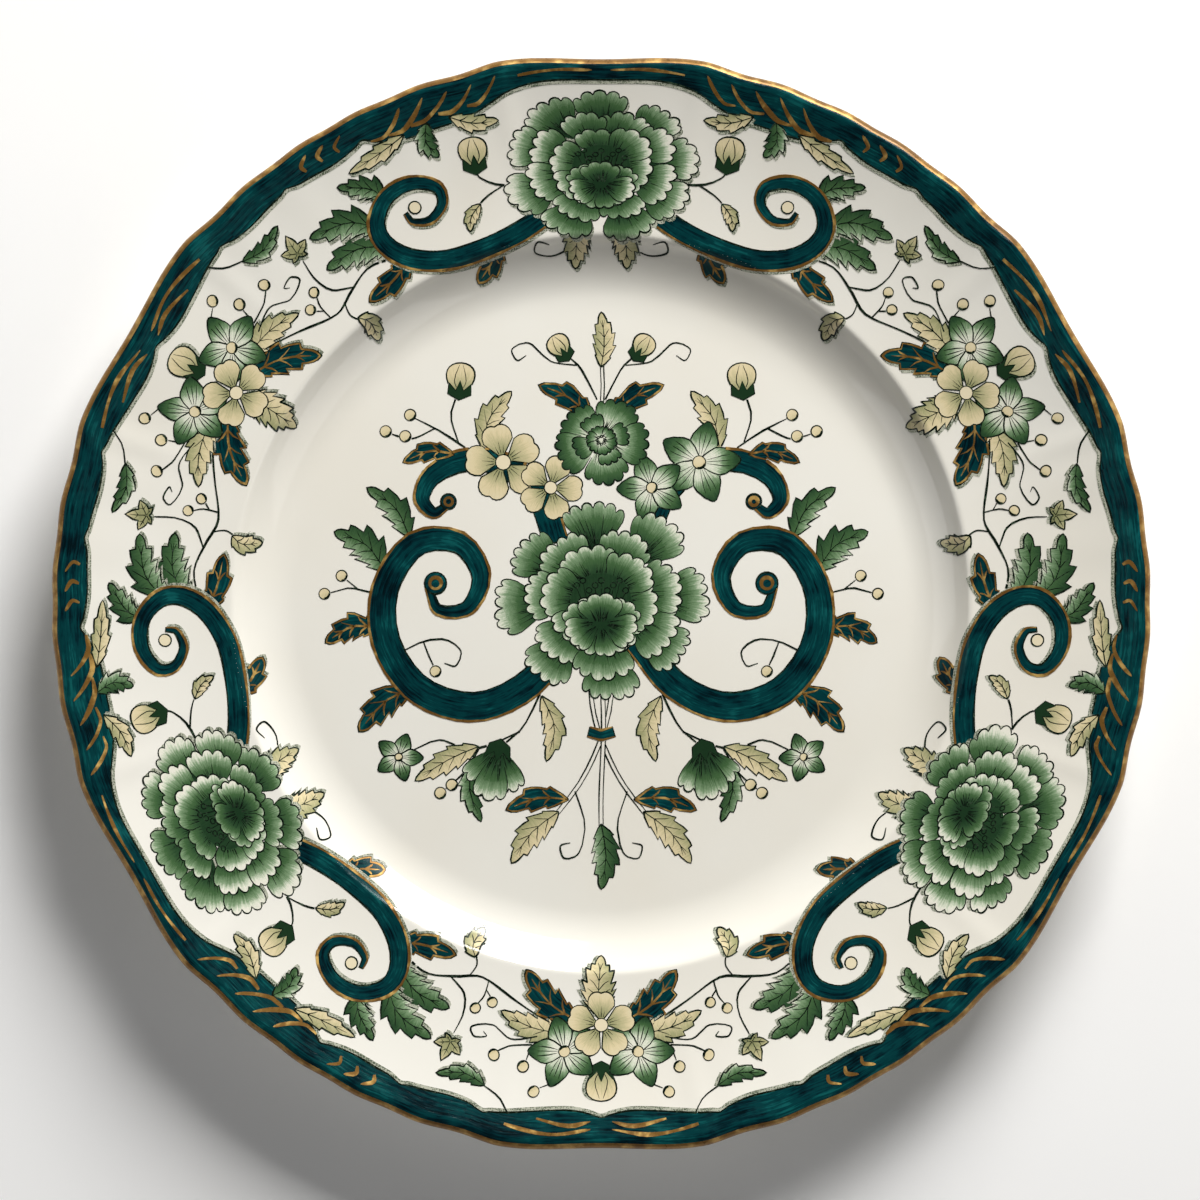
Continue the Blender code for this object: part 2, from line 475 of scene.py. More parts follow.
def turning_tree(form: PlateForm) -> FormTree:
    """Tree that turns a profile about the plate's axis and lobes its rim.

    The profile is a chain of vertices, radius along X and height along Z.
    """
    tree = FormTree("turned_ware", {"Profile Points": "NodeSocketInt", "Stations": "NodeSocketInt",
                                    "Material": "NodeSocketMaterial"})
    rows = tree.math("ADD", tree["Stations"], 1.0)
    grid = tree.out("GeometryNodeMeshGrid", {"Size X": 1.0, "Size Y": 1.0,
                                             "Vertices X": tree["Profile Points"], "Vertices Y": rows})
    at = tree.add("ShaderNodeSeparateXYZ", {0: tree.out("GeometryNodeInputPosition")})
    last = tree.math("SUBTRACT", tree["Profile Points"], 1.0)
    index = tree.math("ROUND", tree.times(tree.math("ADD", at.outputs[0], 0.5), last))
    angle = tree.times(tree.math("ADD", at.outputs[1], 0.5), math.tau)
    sample = tree.add("GeometryNodeSampleIndex",
                      {"Geometry": tree["Geometry"], "Index": index}, data_type="FLOAT_VECTOR")
    tree.wire(sample.inputs["Value"], tree.out("GeometryNodeInputPosition"))
    point = tree.add("ShaderNodeSeparateXYZ", {0: sample.outputs[0]})
    radius, ridge = spread(tree, form, point.outputs[0], angle)
    place = tree.out("ShaderNodeCombineXYZ", {
        **level_spot(tree, radius, angle), 2: tree.math("ADD", point.outputs[2], ridge)})
    turned = tree.out("GeometryNodeSetPosition", {"Geometry": grid, "Position": place})
    closed = tree.out("GeometryNodeMergeByDistance", {"Geometry": turned, "Distance": GLAZE_WELD})
    tree.finish(closed)
    return tree


def laying_tree(form: PlateForm, lines: bool) -> FormTree:
    """Tree that repeats flat artwork, drapes it over the glaze and gives it thickness.

    Args:
        form: The plate's form.
        lines: Whether the artwork is drawn lines, which are first given their width.

    Returns:
        The tree.
    """
    tree = FormTree("laid_lines" if lines else "laid_washes", {
        "Glaze": "NodeSocketObject", "Repeats": "NodeSocketInt", "Proud": "NodeSocketFloat",
        "Sink": "NodeSocketFloat", "Material": "NodeSocketMaterial"})
    art = tree["Geometry"]
    if lines:
        art = widened(tree, art)
    spot = tree.out("GeometryNodePoints", {"Count": tree["Repeats"]})
    step = tree.math("DIVIDE", -math.tau, tree["Repeats"])
    turn = tree.times(tree.out("GeometryNodeInputIndex"), step)
    euler = tree.out("ShaderNodeCombineXYZ", {2: turn})
    rotation = tree.out("FunctionNodeEulerToRotation", {0: euler})
    copies = tree.out("GeometryNodeInstanceOnPoints", {
        "Points": spot, "Instance": art, "Rotation": rotation})
    whole = tree.out("GeometryNodeRealizeInstances", {0: copies})
    welded = tree.out("GeometryNodeMergeByDistance", {"Geometry": whole, "Distance": ART_WELD})
    position = tree.out("GeometryNodeInputPosition")
    at = tree.add("ShaderNodeSeparateXYZ", {0: position})
    angle = tree.math("ARCTAN2", at.outputs[1], at.outputs[0])
    flat = tree.add("ShaderNodeVectorMath", {0: position}, operation="LENGTH").outputs["Value"]
    radius, _ = spread(tree, form, flat, angle)
    above = tree.out("ShaderNodeCombineXYZ", {**level_spot(tree, radius, angle), 2: RAY_START})
    glaze = tree.add("GeometryNodeObjectInfo", {"Object": tree["Glaze"]})
    ray = tree.add("GeometryNodeRaycast", {
        "Target Geometry": glaze.outputs["Geometry"], "Source Position": above,
        "Ray Direction": (0.0, 0.0, -1.0), "Ray Length": 2 * RAY_START})
    under = tree.out("ShaderNodeVectorMath", {
        0: ray.outputs["Hit Normal"], 3: tree.times(tree["Sink"], -1.0)}, operation="SCALE")
    seat = tree.out("ShaderNodeVectorMath", {
        0: ray.outputs["Hit Position"], 1: under}, operation="ADD")
    laid = tree.out("GeometryNodeSetPosition", {
        "Geometry": welded, "Position": seat})
    raised = tree.out("GeometryNodeExtrudeMesh", {
        "Mesh": laid, "Offset Scale": tree.math("ADD", tree["Proud"], tree["Sink"]),
        "Individual": False}, mode="FACES")
    back = tree.out("GeometryNodeFlipFaces", {"Mesh": laid})
    both = tree.add("GeometryNodeJoinGeometry")
    tree.wire(both.inputs[0], raised)
    tree.wire(both.inputs[0], back)
    solid = tree.out("GeometryNodeMergeByDistance", {"Geometry": both.outputs[0], "Distance": SOLID_WELD})
    tree.finish(solid)
    return tree


def widened(tree: FormTree, chains: Socket) -> Socket:
    """Turn chains of edges into flat ribbons as wide as their points say.

    Args:
        tree: The tree to build in.
        chains: Edges with the half-width attribute.

    Returns:
        The ribbons, facing up.
    """
    paths = tree.out("GeometryNodeMeshToCurve", {"Mesh": chains})
    width = tree.out("GeometryNodeInputNamedAttribute", {"Name": HALF_WIDTH}, data_type="FLOAT")
    level = tree.out("GeometryNodeSetCurveNormal", {"Curve": paths}, mode="Z_UP")
    nib = tree.out("GeometryNodeCurvePrimitiveLine", {"Start": (-1.0, 0.0, 0.0), "End": (1.0, 0.0, 0.0)})
    ribbon = tree.out("GeometryNodeCurveToMesh", {
        "Curve": level, "Profile Curve": nib, "Scale": width})
    return ribbon


# ---- flat drawing


def curve(points: Sequence[Spot], closed: bool = False, steps: int = 8) -> Points:
    """Smooth curve through a few given points.

    Args:
        points: The points.
        closed: Whether the curve returns to its start.
        steps: Chords between neighbouring points.

    Returns:
        The curve's points.
    """
    pts = np.asarray(points, float)
    if closed:
        ext = np.vstack([pts[-1:], pts, pts[:2]])
    else:
        ext = np.vstack([2 * pts[:1] - pts[1:2], pts, 2 * pts[-1:] - pts[-2:-1]])
    t = np.arange(steps) / steps
    basis = 0.5 * np.stack([2 * t**2 - t - t**3, 2 - 5 * t**2 + 3 * t**3,
                            t + 4 * t**2 - 3 * t**3, t**3 - t**2], axis=1)
    line = np.vstack([basis @ ext[i:i + 4] for i in range(len(ext) - 3)])
    return line if closed else np.vstack([line, pts[-1:]])


def polar(angles: Points | float, radii: Points | float) -> Points:
    """Points at angles in degrees and radii about the origin."""
    turn = np.radians(angles)
    return np.column_stack([np.cos(turn) * radii, np.sin(turn) * radii])


def ring(count: int, radius: float) -> Points:
    """Points evenly spread on a circle about the origin."""
    return polar(np.linspace(0.0, 360.0, count + 1)[:-1], radius)


def lengths(line: Points) -> Points:
    """Distance along a line at each of its points."""
    return np.concatenate([[0.0], np.cumsum(np.hypot(*np.diff(line, axis=0).T))])


def resample(line: Points, shares: Points) -> Points:
    """Points at shares of a line's length."""
    run = lengths(line)
    return np.column_stack([np.interp(shares * run[-1], run, line[:, i]) for i in (0, 1)])


def sideways(line: Points) -> Points:
    """Unit normals to the left of a line."""
    step = np.gradient(line, axis=0)
    step /= np.maximum(np.hypot(*step.T), 1e-9)[:, None]
    return np.column_stack([-step[:, 1], step[:, 0]])


def band_outline(line: Points, side: Points) -> Points:
    """Outline of a band that reaches one offset to either side of a line."""
    return np.vstack([line + side, (line - side)[::-1]])


def swelling(count: int, ends: Pair) -> Points:
    """Widths that swell from one end share through one to the other end share."""
    t = np.linspace(0.0, 1.0, count)
    floor = ends[0] + (ends[1] - ends[0]) * t
    return floor + (1.0 - floor) * np.sin(np.pi * t) ** 0.45


WELL_EDGE, COVE_EDGE, SHOULDER_EDGE, RIM_EDGE = 73.0, 86.6, 92.8, 128.0


def longest_chord(radius: Points) -> Points:
    """Longest chords that still lie on the glaze at given radii: short where it bends."""
    zones = [radius < edge for edge in (WELL_EDGE, COVE_EDGE, SHOULDER_EDGE, RIM_EDGE)]
    return np.select(zones, [4.0, 1.2, 0.36, 2.2], 0.36)


def supple(outline: Points) -> Points:
    """Closed outline with points added where its chords would leave the glaze."""
    ends = np.roll(outline, -1, axis=0)
    gaps = np.hypot(*(ends - outline).T)
    parts = np.ceil(gaps / longest_chord(np.hypot(*((ends + outline) / 2).T)) - 0.01).astype(int)
    return np.vstack([start + (end - start) * (np.arange(max(count, 1)) / max(count, 1))[:, None]
                      for start, end, count in zip(outline, ends, parts)])


def needed(line: Points) -> Points:
    """Places of the points that a line needs to keep its shape and lie on the glaze.

    Args:
        line: The line, finely divided.

    Returns:
        The points' places in the line.
    """
    bend = 11.0
    run = lengths(line)
    step = np.diff(line, axis=0)
    heading = np.degrees(np.unwrap(np.arctan2(step[:, 1], step[:, 0])))
    longest = longest_chord(np.hypot(*line.T))
    kept = [0]
    for index in range(1, len(line) - 1):
        turned = abs(heading[index] - heading[kept[-1]])
        if turned > bend or run[index + 1] - run[kept[-1]] > longest[index]:
            kept.append(index)
    return np.array([*kept, len(line) - 1])


def inside(outline: Points, points: Points) -> Points:
    """Which points lie inside a closed outline, overlapping parts included."""
    x, y = points[:, 0:1], points[:, 1:2]
    x0, y0 = outline.T
    x1, y1 = np.roll(outline, -1, axis=0).T
    rise = np.where(y1 == y0, 1e-12, y1 - y0)
    right = x < (x1 - x0) * (y - y0) / rise + x0
    up = (y0 <= y) & (y1 > y) & right
    down = (y0 > y) & (y1 <= y) & right
    return up.sum(axis=1) != down.sum(axis=1)


def flat_grade(turn: float = 0.0) -> Grade:
    """Wash coordinates along and across one direction, in degrees."""
    along = np.array([math.cos(math.radians(turn)), math.sin(math.radians(turn))])
    across = np.array([-along[1], along[0]])
    return lambda points: np.column_stack([points @ along, points @ across])


def path_grade(line: Points) -> Grade:
    """Wash coordinates along a line and across it, in millimetres."""
    run = lengths(line)
    side = sideways(line)

    def grade(points: Points) -> Points:
        """Measure points from their nearest spot on the line."""
        away = points[:, None, :] - line[None, :, :]
        near = (away**2).sum(axis=2).argmin(axis=1)
        across = (away[np.arange(len(points)), near] * side[near]).sum(axis=1)
        return np.column_stack([run[near], across])

    return grade


def fan_grade(centre: Points, reach: float, start: float, turned: bool = False) -> Grade:
    """Wash coordinates of a petal: across it in millimetres, and from its base to its edge.

    Args:
        centre: The petal's base.
        reach: Its length.
        start: Share of its length over which it stays at its base colour.
        turned: Whether it is pale at its base and dark at its edge.
    """

    def grade(points: Points) -> Points:
        """Measure points from the petal's base."""
        away = points - centre
        share = (np.hypot(*away.T) / reach - start) / (1.0 - start)
        share = np.clip(share, 0.0, 1.0)
        around = np.arctan2(away[:, 1], away[:, 0]) * reach
        return np.column_stack([around, 0.98 - 0.78 * share**2.2 if turned else share])

    return grade


@dataclass(frozen=True)
class Place:
    """Where a motif sits in the plate's plane, and how it is turned, sized and squashed."""

    origin: Pair
    axes: tuple[Pair, Pair]

    def __call__(self, points: object) -> Points:
        """Move a motif's own points into the plate's plane."""
        own = np.atleast_2d(np.asarray(points, float))
        return own @ np.array(self.axes) + self.origin

    @property
    def size(self) -> float:
        """Millimetres to one unit of the motif."""
        return math.sqrt(abs(np.linalg.det(np.array(self.axes))))

    def at(self, x: float, y: float, turn: float = 0.0, size: float = 1.0) -> "Place":
        """Place of a smaller motif that sits in this one.

        Args:
            x: Its place along this motif's X.
            y: Its place along this motif's Y.
            turn: Its turn in degrees.
            size: Its size as a share of this one's.
        """
        axes = np.array(put(0.0, 0.0, turn, size).axes) @ np.array(self.axes)
        return Place(tuple(self((x, y))[0]), tuple(map(tuple, axes)))


def put(x: float, y: float, turn: float = 0.0, size: float = 1.0, squash: float = 1.0) -> Place:
    """Place of a motif in the plate's plane.

    Args:
        x: Its place along +X, in millimetres.
        y: Its place along +Y.
        turn: Turn in degrees. Its own +Y then points along turn + 90 degrees.
        size: Millimetres to one unit of the motif.
        squash: Height as a share of width.

    Returns:
        The place.
    """
    cos, sin = math.cos(math.radians(turn)), math.sin(math.radians(turn))
    tall = size * squash
    return Place((x, y), ((cos * size, sin * size), (-sin * tall, cos * tall)))


@dataclass(frozen=True)
class Wash:
    """A filled shape. Later washes hide earlier ones."""

    tone: Tone
    outline: Points
    grade: Grade


@dataclass(frozen=True)
class Stroke:
    """A drawn line of ink or gold, hidden by the washes laid after it."""

    tone: Tone
    points: Points
    half_widths: Points
    level: int
    closed: bool


@dataclass
class Artwork:
    """Flat drawing of one region of the pattern.

    Its chart turns the given points of stems and tendrils into the plate's plane.
    """

    seed: int
    shadow_by: Pair | None = None
    chart: Callable[[Points], Points] = np.asarray
    washes: list[Wash] = field(default_factory=list)
    strokes: list[Stroke] = field(default_factory=list)

    def __post_init__(self) -> None:
        """Seed the hand's small unevenness."""
        self.hand = random.Random(self.seed)

    def wash(self, tone: Tone, outline: Points, grade: Grade | None = None) -> None:
        """Lay a filled shape.

        Args:
            tone: What it is made of.
            outline: Its closed outline.
            grade: How its brush marks run.
        """
        outline = supple(outline)
        x, y = outline.T
        area = (x * np.roll(y, -1) - y * np.roll(x, -1)).sum()
        self.washes.append(Wash(tone, outline if area > 0 else outline[::-1], grade or flat_grade()))

    def stroke(self, points: Points, half: float, tone: Tone = Tone.PRINT,
               ends: Pair = (0.35, 0.35), closed: bool = False) -> None:
        """Draw a line that swells and thins as if by hand.

        Args:
            points: Its points.
            half: Half its width, in millimetres.
            tone: Ink or gold.
            ends: Width at each end as a share of the middle's.
            closed: Whether it returns to its start.
        """
        widths = np.ones(len(points)) if closed else swelling(len(points), ends)
        beat = self.hand.uniform(0.25, 0.6)
        widths = widths * (1.0 + 0.22 * np.sin(lengths(points) * beat + self.hand.uniform(0.0, math.tau)))
        self.strokes.append(Stroke(tone, points, half * widths, len(self.washes), closed))

    def shape(self, tone: Tone, outline: Points, grade: Grade | None = None, half: float = 0.19) -> None:
        """Lay a filled shape with an inked outline."""
        self.wash(tone, outline, grade)
        self.stroke(outline, half, closed=True)

    def shadow(self, outline: Points) -> None:
        """Lay the stippled tone that sets a rim motif off from the ground."""
        if self.shadow_by is not None:
            for share in (0.5, 1.0):
                self.wash(Tone.SHADE, outline + np.array(self.shadow_by) * share)

    def strip(self, line: Points, half_widths: Points, gold: Sequence[float], ink: float) -> None:
        """Lay an enamel band that follows a line.

        Args:
            line: Its middle line.
            half_widths: Half its width along the line.
            gold: Sides that carry a gold edge, 1 for left and -1 for right.
            ink: Half width of its outline.
        """
        side = sideways(line) * half_widths[:, None]
        outline = band_outline(line, side)
        self.wash(Tone.ENAMEL, outline, path_grade(line))
        for sign in gold:
            self.stroke(line + side * sign * 0.97, 0.32, Tone.GILT, (0.5, 0.5))
        self.stroke(outline, ink, closed=True)

    # Small motifs.

    def petal(self, place: Place, reach: float, fan: float, scallops: int, start: float = 0.25,
              turned: bool = False, depth: float = 0.1) -> None:
        """Lay a ruffled petal that opens along its place's +Y.

        Args:
            place: Its base.
            reach: Its length.
            fan: Half its opening angle, in degrees.
            scallops: Number of ruffles on its edge.
            start: Share of its length that keeps the base colour.
            turned: Whether its edge is the dark part.
            depth: Depth of the ruffles, as a share of its length.
        """
        t = np.linspace(-1.0, 1.0, scallops * 6 + 1)
        uneven = np.interp(t, np.linspace(-1, 1, scallops + 1),
                           [self.hand.uniform(-0.05, 0.05) for _ in range(scallops + 1)])
        ruffle = np.abs(np.sin(np.pi * scallops * (t + 1) / 2)) ** 0.6
        radii = reach * (1.0 - depth - 0.2 * t**4 + depth * ruffle + uneven)
        rim = place(np.vstack([polar(90.0 + fan * 1.02, reach * 0.42), polar(90.0 - t * fan, radii),
                               polar(90.0 - fan * 1.02, reach * 0.42)]))
        base = place((0.0, 0.0))
        self.wash(Tone.GREEN, np.vstack([rim, base]), fan_grade(base[0], reach * place.size, start, turned))
        self.stroke(rim, 0.185)
        for _ in range(int(fan * reach * place.size / 21)):
            angle = 90.0 + self.hand.uniform(-0.85, 0.85) * fan
            first = self.hand.uniform(0.1, 0.3) if turned else self.hand.uniform(0.18, 0.36)
            last = first + self.hand.uniform(0.15, 0.4)
            bow = self.hand.uniform(-4.0, 4.0)
            swing = np.array([angle, angle + bow * 0.4, angle + bow])
            vein = polar(swing, reach * np.linspace(first, last, 3))
            self.stroke(place(curve(vein, steps=3)), 0.09, ends=(1.0, 0.1))

    def leaf(self, path: Points, half: float, kind: Leaf) -> None:
        """Lay a toothed leaf about its midrib. An enamel leaf has gilt veins and a gilt edge.

        Args:
            path: The midrib, from the stalk to the tip.
            half: Half its width.
            kind: How it is cut, washed and veined.
        """
        tone, teeth, depth, full, veins = kind.value
        gilt = tone is Tone.ENAMEL
        count = teeth * 4
        t = np.linspace(0.0, 1.0, count + 1)
        spine = resample(path, t)
        side = sideways(spine)
        ahead = np.column_stack([side[:, 1], -side[:, 0]])
        body = np.sin(np.pi * np.clip(t, 0.0, 1.0) ** full) ** 0.85
        saw = (t * teeth) % 1.0
        saw[-1] = 0.0
        width = half * body * (1.0 - depth + depth * saw * 1.35)
        lean = ahead * (half * 0.38 * saw * body)[:, None]
        left = spine + side * width[:, None] + lean
        right = spine - side * width[:, None] + lean
        outline = np.vstack([left, right[::-1][1:-1]])
        self.shadow(outline)
        run = path_grade(spine)
        lit = 1.0 if spine[-1][0] < spine[0][0] else -1.0
        self.shape(tone, outline, run if gilt else lambda points: np.column_stack([
            run(points)[:, 0], 0.56 + 0.42 * lit * run(points)[:, 1] / half]))
        edge_tone, rib = (Tone.GILT, 0.24) if gilt else (Tone.PRINT, 0.12)
        self.stroke(resample(spine, np.linspace(0.02, 0.86, 12)), rib, edge_tone, (1.0, 0.2))
        for index in range(1, veins + 1):
            start = index / (veins + 1.6)
            for edge in (left, right):
                root = resample(spine, np.array([start]))[0]
                goal = edge[min(int((start + 0.2) * count), count - 1)]
                tip = root + (goal - root) * 0.72
                bend = (root + tip) / 2 + ahead[min(int(start * count), count)] * half * 0.08
                self.stroke(curve([root, bend, tip], steps=3), rib * 0.8, edge_tone, (1.0, 0.25))
        if gilt:
            near = outline - (outline - outline.mean(axis=0)) * 0.05
            self.stroke(near, 0.21, Tone.GILT, closed=True)

    def ivy(self, place: Place) -> None:
        """Lay a small vine leaf of three lobes and two basal ones.

        Args:
            place: Where they meet.
        """
        lobes = ((90.0, 1.0), (28.0, 0.82), (152.0, 0.82), (-32.0, 0.5), (212.0, 0.5))
        angles = np.linspace(0.0, 360.0, 144, endpoint=False)
        radii = np.full(len(angles), 0.3 * min(length for _, length in lobes))
        for aim, length in lobes:
            off = np.abs((angles - aim + 180.0) % 360.0 - 180.0) / 46.0
            radii = np.maximum(radii, np.where(off < 1.0, length * (1.0 - 0.66 * off**0.8), 0.0))
        outline = place(polar(angles, radii))
        self.shadow(outline)
        self.shape(Tone.YELLOW, outline, fan_grade(place((0, 0))[0], 1.3 * place.size, 0.1))
        for aim, length in lobes:
            rib = polar(np.array([aim, aim + 2.0, aim]), length * np.array([0.04, 0.42, 0.8]))
            self.stroke(place(curve(rib, steps=3)), 0.12, ends=(1.0, 0.2))
            for side in (-20.0, 20.0):
                twig = np.vstack([polar(aim, length * 0.4), polar(aim + side, length * 0.6)])
                self.stroke(place(twig), 0.12 * 0.7, ends=(1.0, 0.3))

    def bud(self, place: Place) -> None:
        """Lay a closed bud, pointing along +Y, in its calyx.

        Args:
            place: Its base and size.
        """
        t = np.linspace(0.0, math.tau, 25)[:-1]
        outline = place(np.column_stack([0.42 * np.sin(t) * (1.0 - 0.3 * np.cos(t)), 0.55 - 0.5 * np.cos(t)]))
        self.shadow(outline)
        self.shape(Tone.YELLOW, outline, fan_grade(place((0, 0))[0], 1.1 * place.size, 0.0))
        for lean in (-0.18, 0.18):
            self.stroke(place(curve([(0.0, 0.1), (lean, 0.5), (lean * 0.3, 0.98)], steps=5)), 0.1)
        calyx = [(-0.34, 0.42), (-0.36, 0.08), (0.0, -0.1), (0.36, 0.08), (0.34, 0.42), (0.12, 0.2),
                 (0.0, 0.5), (-0.12, 0.2)]
        self.shape(Tone.GREEN, place(calyx), np.zeros_like, 0.12)

    def berry(self, place: Place) -> None:
        """Lay a round berry with a dark lower side."""
        grade = fan_grade(place((-0.4, 0.5))[0], 2.0 * place.size, 0.2, True)
        self.shape(Tone.YELLOW, place(ring(18, 1.0)), grade, 0.14)
        self.stroke(place(polar(np.linspace(-100.0, 10.0, 8), 0.8)), 0.2, ends=(0.1, 0.1))

    def blossom(self, place: Place) -> None:
        """Lay a small open straw-coloured flower of five notched petals.

        Args:
            place: Its heart and size.
        """
        t = np.linspace(-1.0, 1.0, 13)
        radii = 1.0 - 0.32 * np.abs(t) ** 3.0 - 0.06 * np.exp(-(t / 0.15) ** 2)
        for index in range(5):
            own = place.at(0, 0, 360.0 * index / 5)
            edge = np.vstack([[(0.0, 0.1)], polar(90.0 - t * 34.0, radii)])
            self.shape(Tone.YELLOW, own(edge), fan_grade(own((0, 0))[0], place.size, 0.1), 0.15)
            for lean, tip in ((-14.0, 0.45), (0.0, 0.55), (14.0, 0.45)):
                self.stroke(own(polar(np.full(2, 90.0 + lean), np.array([0.25, tip]))), 0.1, ends=(1.0, 0.2))
        self.shape(Tone.YELLOW, place(ring(14, 0.2)), None, 0.14)

    def pointed(self, place: Place) -> None:
        """Lay a small flower of five pointed petals, pale at its heart and dark at its edges.

        Args:
            place: Its heart and size.
        """
        for index in range(5):
            own = place.at(0, 0, 72.0 * index)
            edge = [(0.0, 0.0), (-0.33, 0.4), (-0.3, 0.74), (0.0, 1.08), (0.3, 0.74), (0.33, 0.4)]
            edge = curve(edge, True, 5)
            self.shape(Tone.GREEN, own(edge), fan_grade(own((0, 0))[0], place.size, 0.2, True), 0.16)
            for lean in (-0.12, 0.0, 0.12):
                self.stroke(own(curve([(lean * 0.4, 0.2), (lean, 0.5), (lean * 1.2, 0.8)], steps=4)), 0.11)
        self.berry(place.at(0, 0, 0.0, 0.17))

    def tendril(self, points: Sequence[Spot], half: float) -> None:
        """Draw a thin stem or tendril through a few points."""
        self.stroke(self.chart(curve(points, steps=6)), half, ends=(0.8, 0.4))

    def stem(self, points: Sequence[Spot], half: float) -> None:
        """Lay a double-lined stem.

        Args:
            points: Points that it passes through.
            half: Half its width.
        """
        line = self.chart(curve(points, steps=6))
        side = sideways(line) * half
        self.wash(Tone.BARE, band_outline(line, side))
        self.stroke(line + side, 0.13)
        self.stroke(line - side, 0.17)

    # Turning the drawing into meshes.

    def visible(self, stroke: Stroke) -> list[tuple[Points, Points]]:
        """Stretches of a line that no later wash hides.

        Args:
            stroke: The line.

        Returns:
            Points and half widths of each stretch.
        """
        points, widths = stroke.points, stroke.half_widths
        if stroke.closed:
            points, widths = np.vstack([points, points[:1]]), np.append(widths, widths[0])
        run = lengths(points)
        count = max(int(run[-1] / 0.34), 3)
        where = np.unique(np.concatenate([run, np.linspace(0.0, run[-1], count)]))
        fine = np.column_stack([np.interp(where, run, points[:, i]) for i in (0, 1)])
        wide = np.interp(where, run, widths)
        keep = np.append(True, np.diff(where) > 0.02)
        fine, wide = fine[keep], wide[keep]
        shown = np.ones(len(fine), bool)
        low, high = fine.min(axis=0), fine.max(axis=0)
        for wash in self.washes[stroke.level:]:
            if (wash.outline.max(axis=0) < low).any() or (wash.outline.min(axis=0) > high).any():
                continue
            shown &= ~inside(wash.outline, fine)
        cuts = np.flatnonzero(np.diff(shown.astype(int))) + 1
        runs = zip(np.split(fine, cuts), np.split(wide, cuts), np.split(shown, cuts))
        kept = [(part, width, needed(part)) for part, width, seen in runs if seen[0] and len(part) > 1]
        return [(part[need], width[need]) for part, width, need in kept]

    def line_mesh(self, tone: Tone) -> Mesh:
        """Edges of the visible lines of one tone, with their half widths."""
        parts = [part for stroke in self.strokes if stroke.tone is tone for part in self.visible(stroke)]
        verts: list[Sequence[float]] = []
        edges: list[tuple[int, int]] = []
        widths: list[float] = []
        for points, half_widths in parts:
            first = len(verts)
            verts += [(x * MM, y * MM, 0.0) for x, y in points]
            widths += list(half_widths * MM)
            edges += [(first + i, first + i + 1) for i in range(len(points) - 1)]
        mesh = bpy.data.meshes.new("lines_" + tone.value)
        mesh.from_pydata(verts, edges, [])
        mesh.attributes.new(HALF_WIDTH, "FLOAT", "POINT").data.foreach_set("value", widths)
        return mesh

    def wash_meshes(self, grid: Points) -> dict[Tone, Mesh]:
        """Split the drawing into one flat mesh for each tone, the topmost wash winning.

        Args:
            grid: Points that keep the triangles small enough to follow the glaze.

        Returns:
            The meshes, with the wash map.
        """
        verts: list[Vector] = []
        edges: list[tuple[int, int]] = []
        for wash in self.washes:
            first, count = len(verts), len(wash.outline)
            edges += [(first + i, first + (i + 1) % count) for i in range(count)]
            verts += [Vector(point) for point in wash.outline]
        verts += [Vector(point) for point in grid]
        spots, _, tris, *_ = delaunay_2d_cdt(verts, edges, [], 0, 1e-4, False)
        plane = np.array([tuple(spot) for spot in spots])
        corners = np.array([tuple(tri) for tri in tris])
        middles = plane[corners].mean(axis=1)
        top = np.full(len(corners), -1)
        for index, wash in enumerate(self.washes):
            low, high = wash.outline.min(axis=0), wash.outline.max(axis=0)
            near = np.flatnonzero(((middles > low) & (middles < high)).all(axis=1))
            top[near[inside(wash.outline, middles[near])]] = index
        grades = np.zeros((len(tris), 3, 2))
        for index in np.unique(top[top >= 0]):
            mine = top == index
            flat = self.washes[index].grade(plane[corners[mine]].reshape(-1, 2))
            grades[mine] = flat.reshape(-1, 3, 2)
        meshes = {}
        tones = np.array([self.washes[index].tone.value if index >= 0 else "" for index in top])
        for tone in Tone:
            mine = tones == tone.value
            if tone is Tone.BARE or not mine.any():
                continue
            used, local = np.unique(corners[mine], return_inverse=True)
            mesh = bpy.data.meshes.new("washes_" + tone.value)
            mesh.from_pydata([(x * MM, y * MM, 0.0) for x, y in plane[used]], [],
                             local.reshape(-1, 3).tolist())
            mesh.uv_layers.new(name=WASH).data.foreach_set("uv", grades[mine].ravel())
            meshes[tone] = mesh
        return meshes


# ---- the pattern


@dataclass(frozen=True)
class PetalRow:
    """A ring of like petals in a full flower, in units of the flower's half-width."""

    count: int
    reach: float
    out: float
    fan: float
    scallops: int
    first: float
    start: float = 0.22


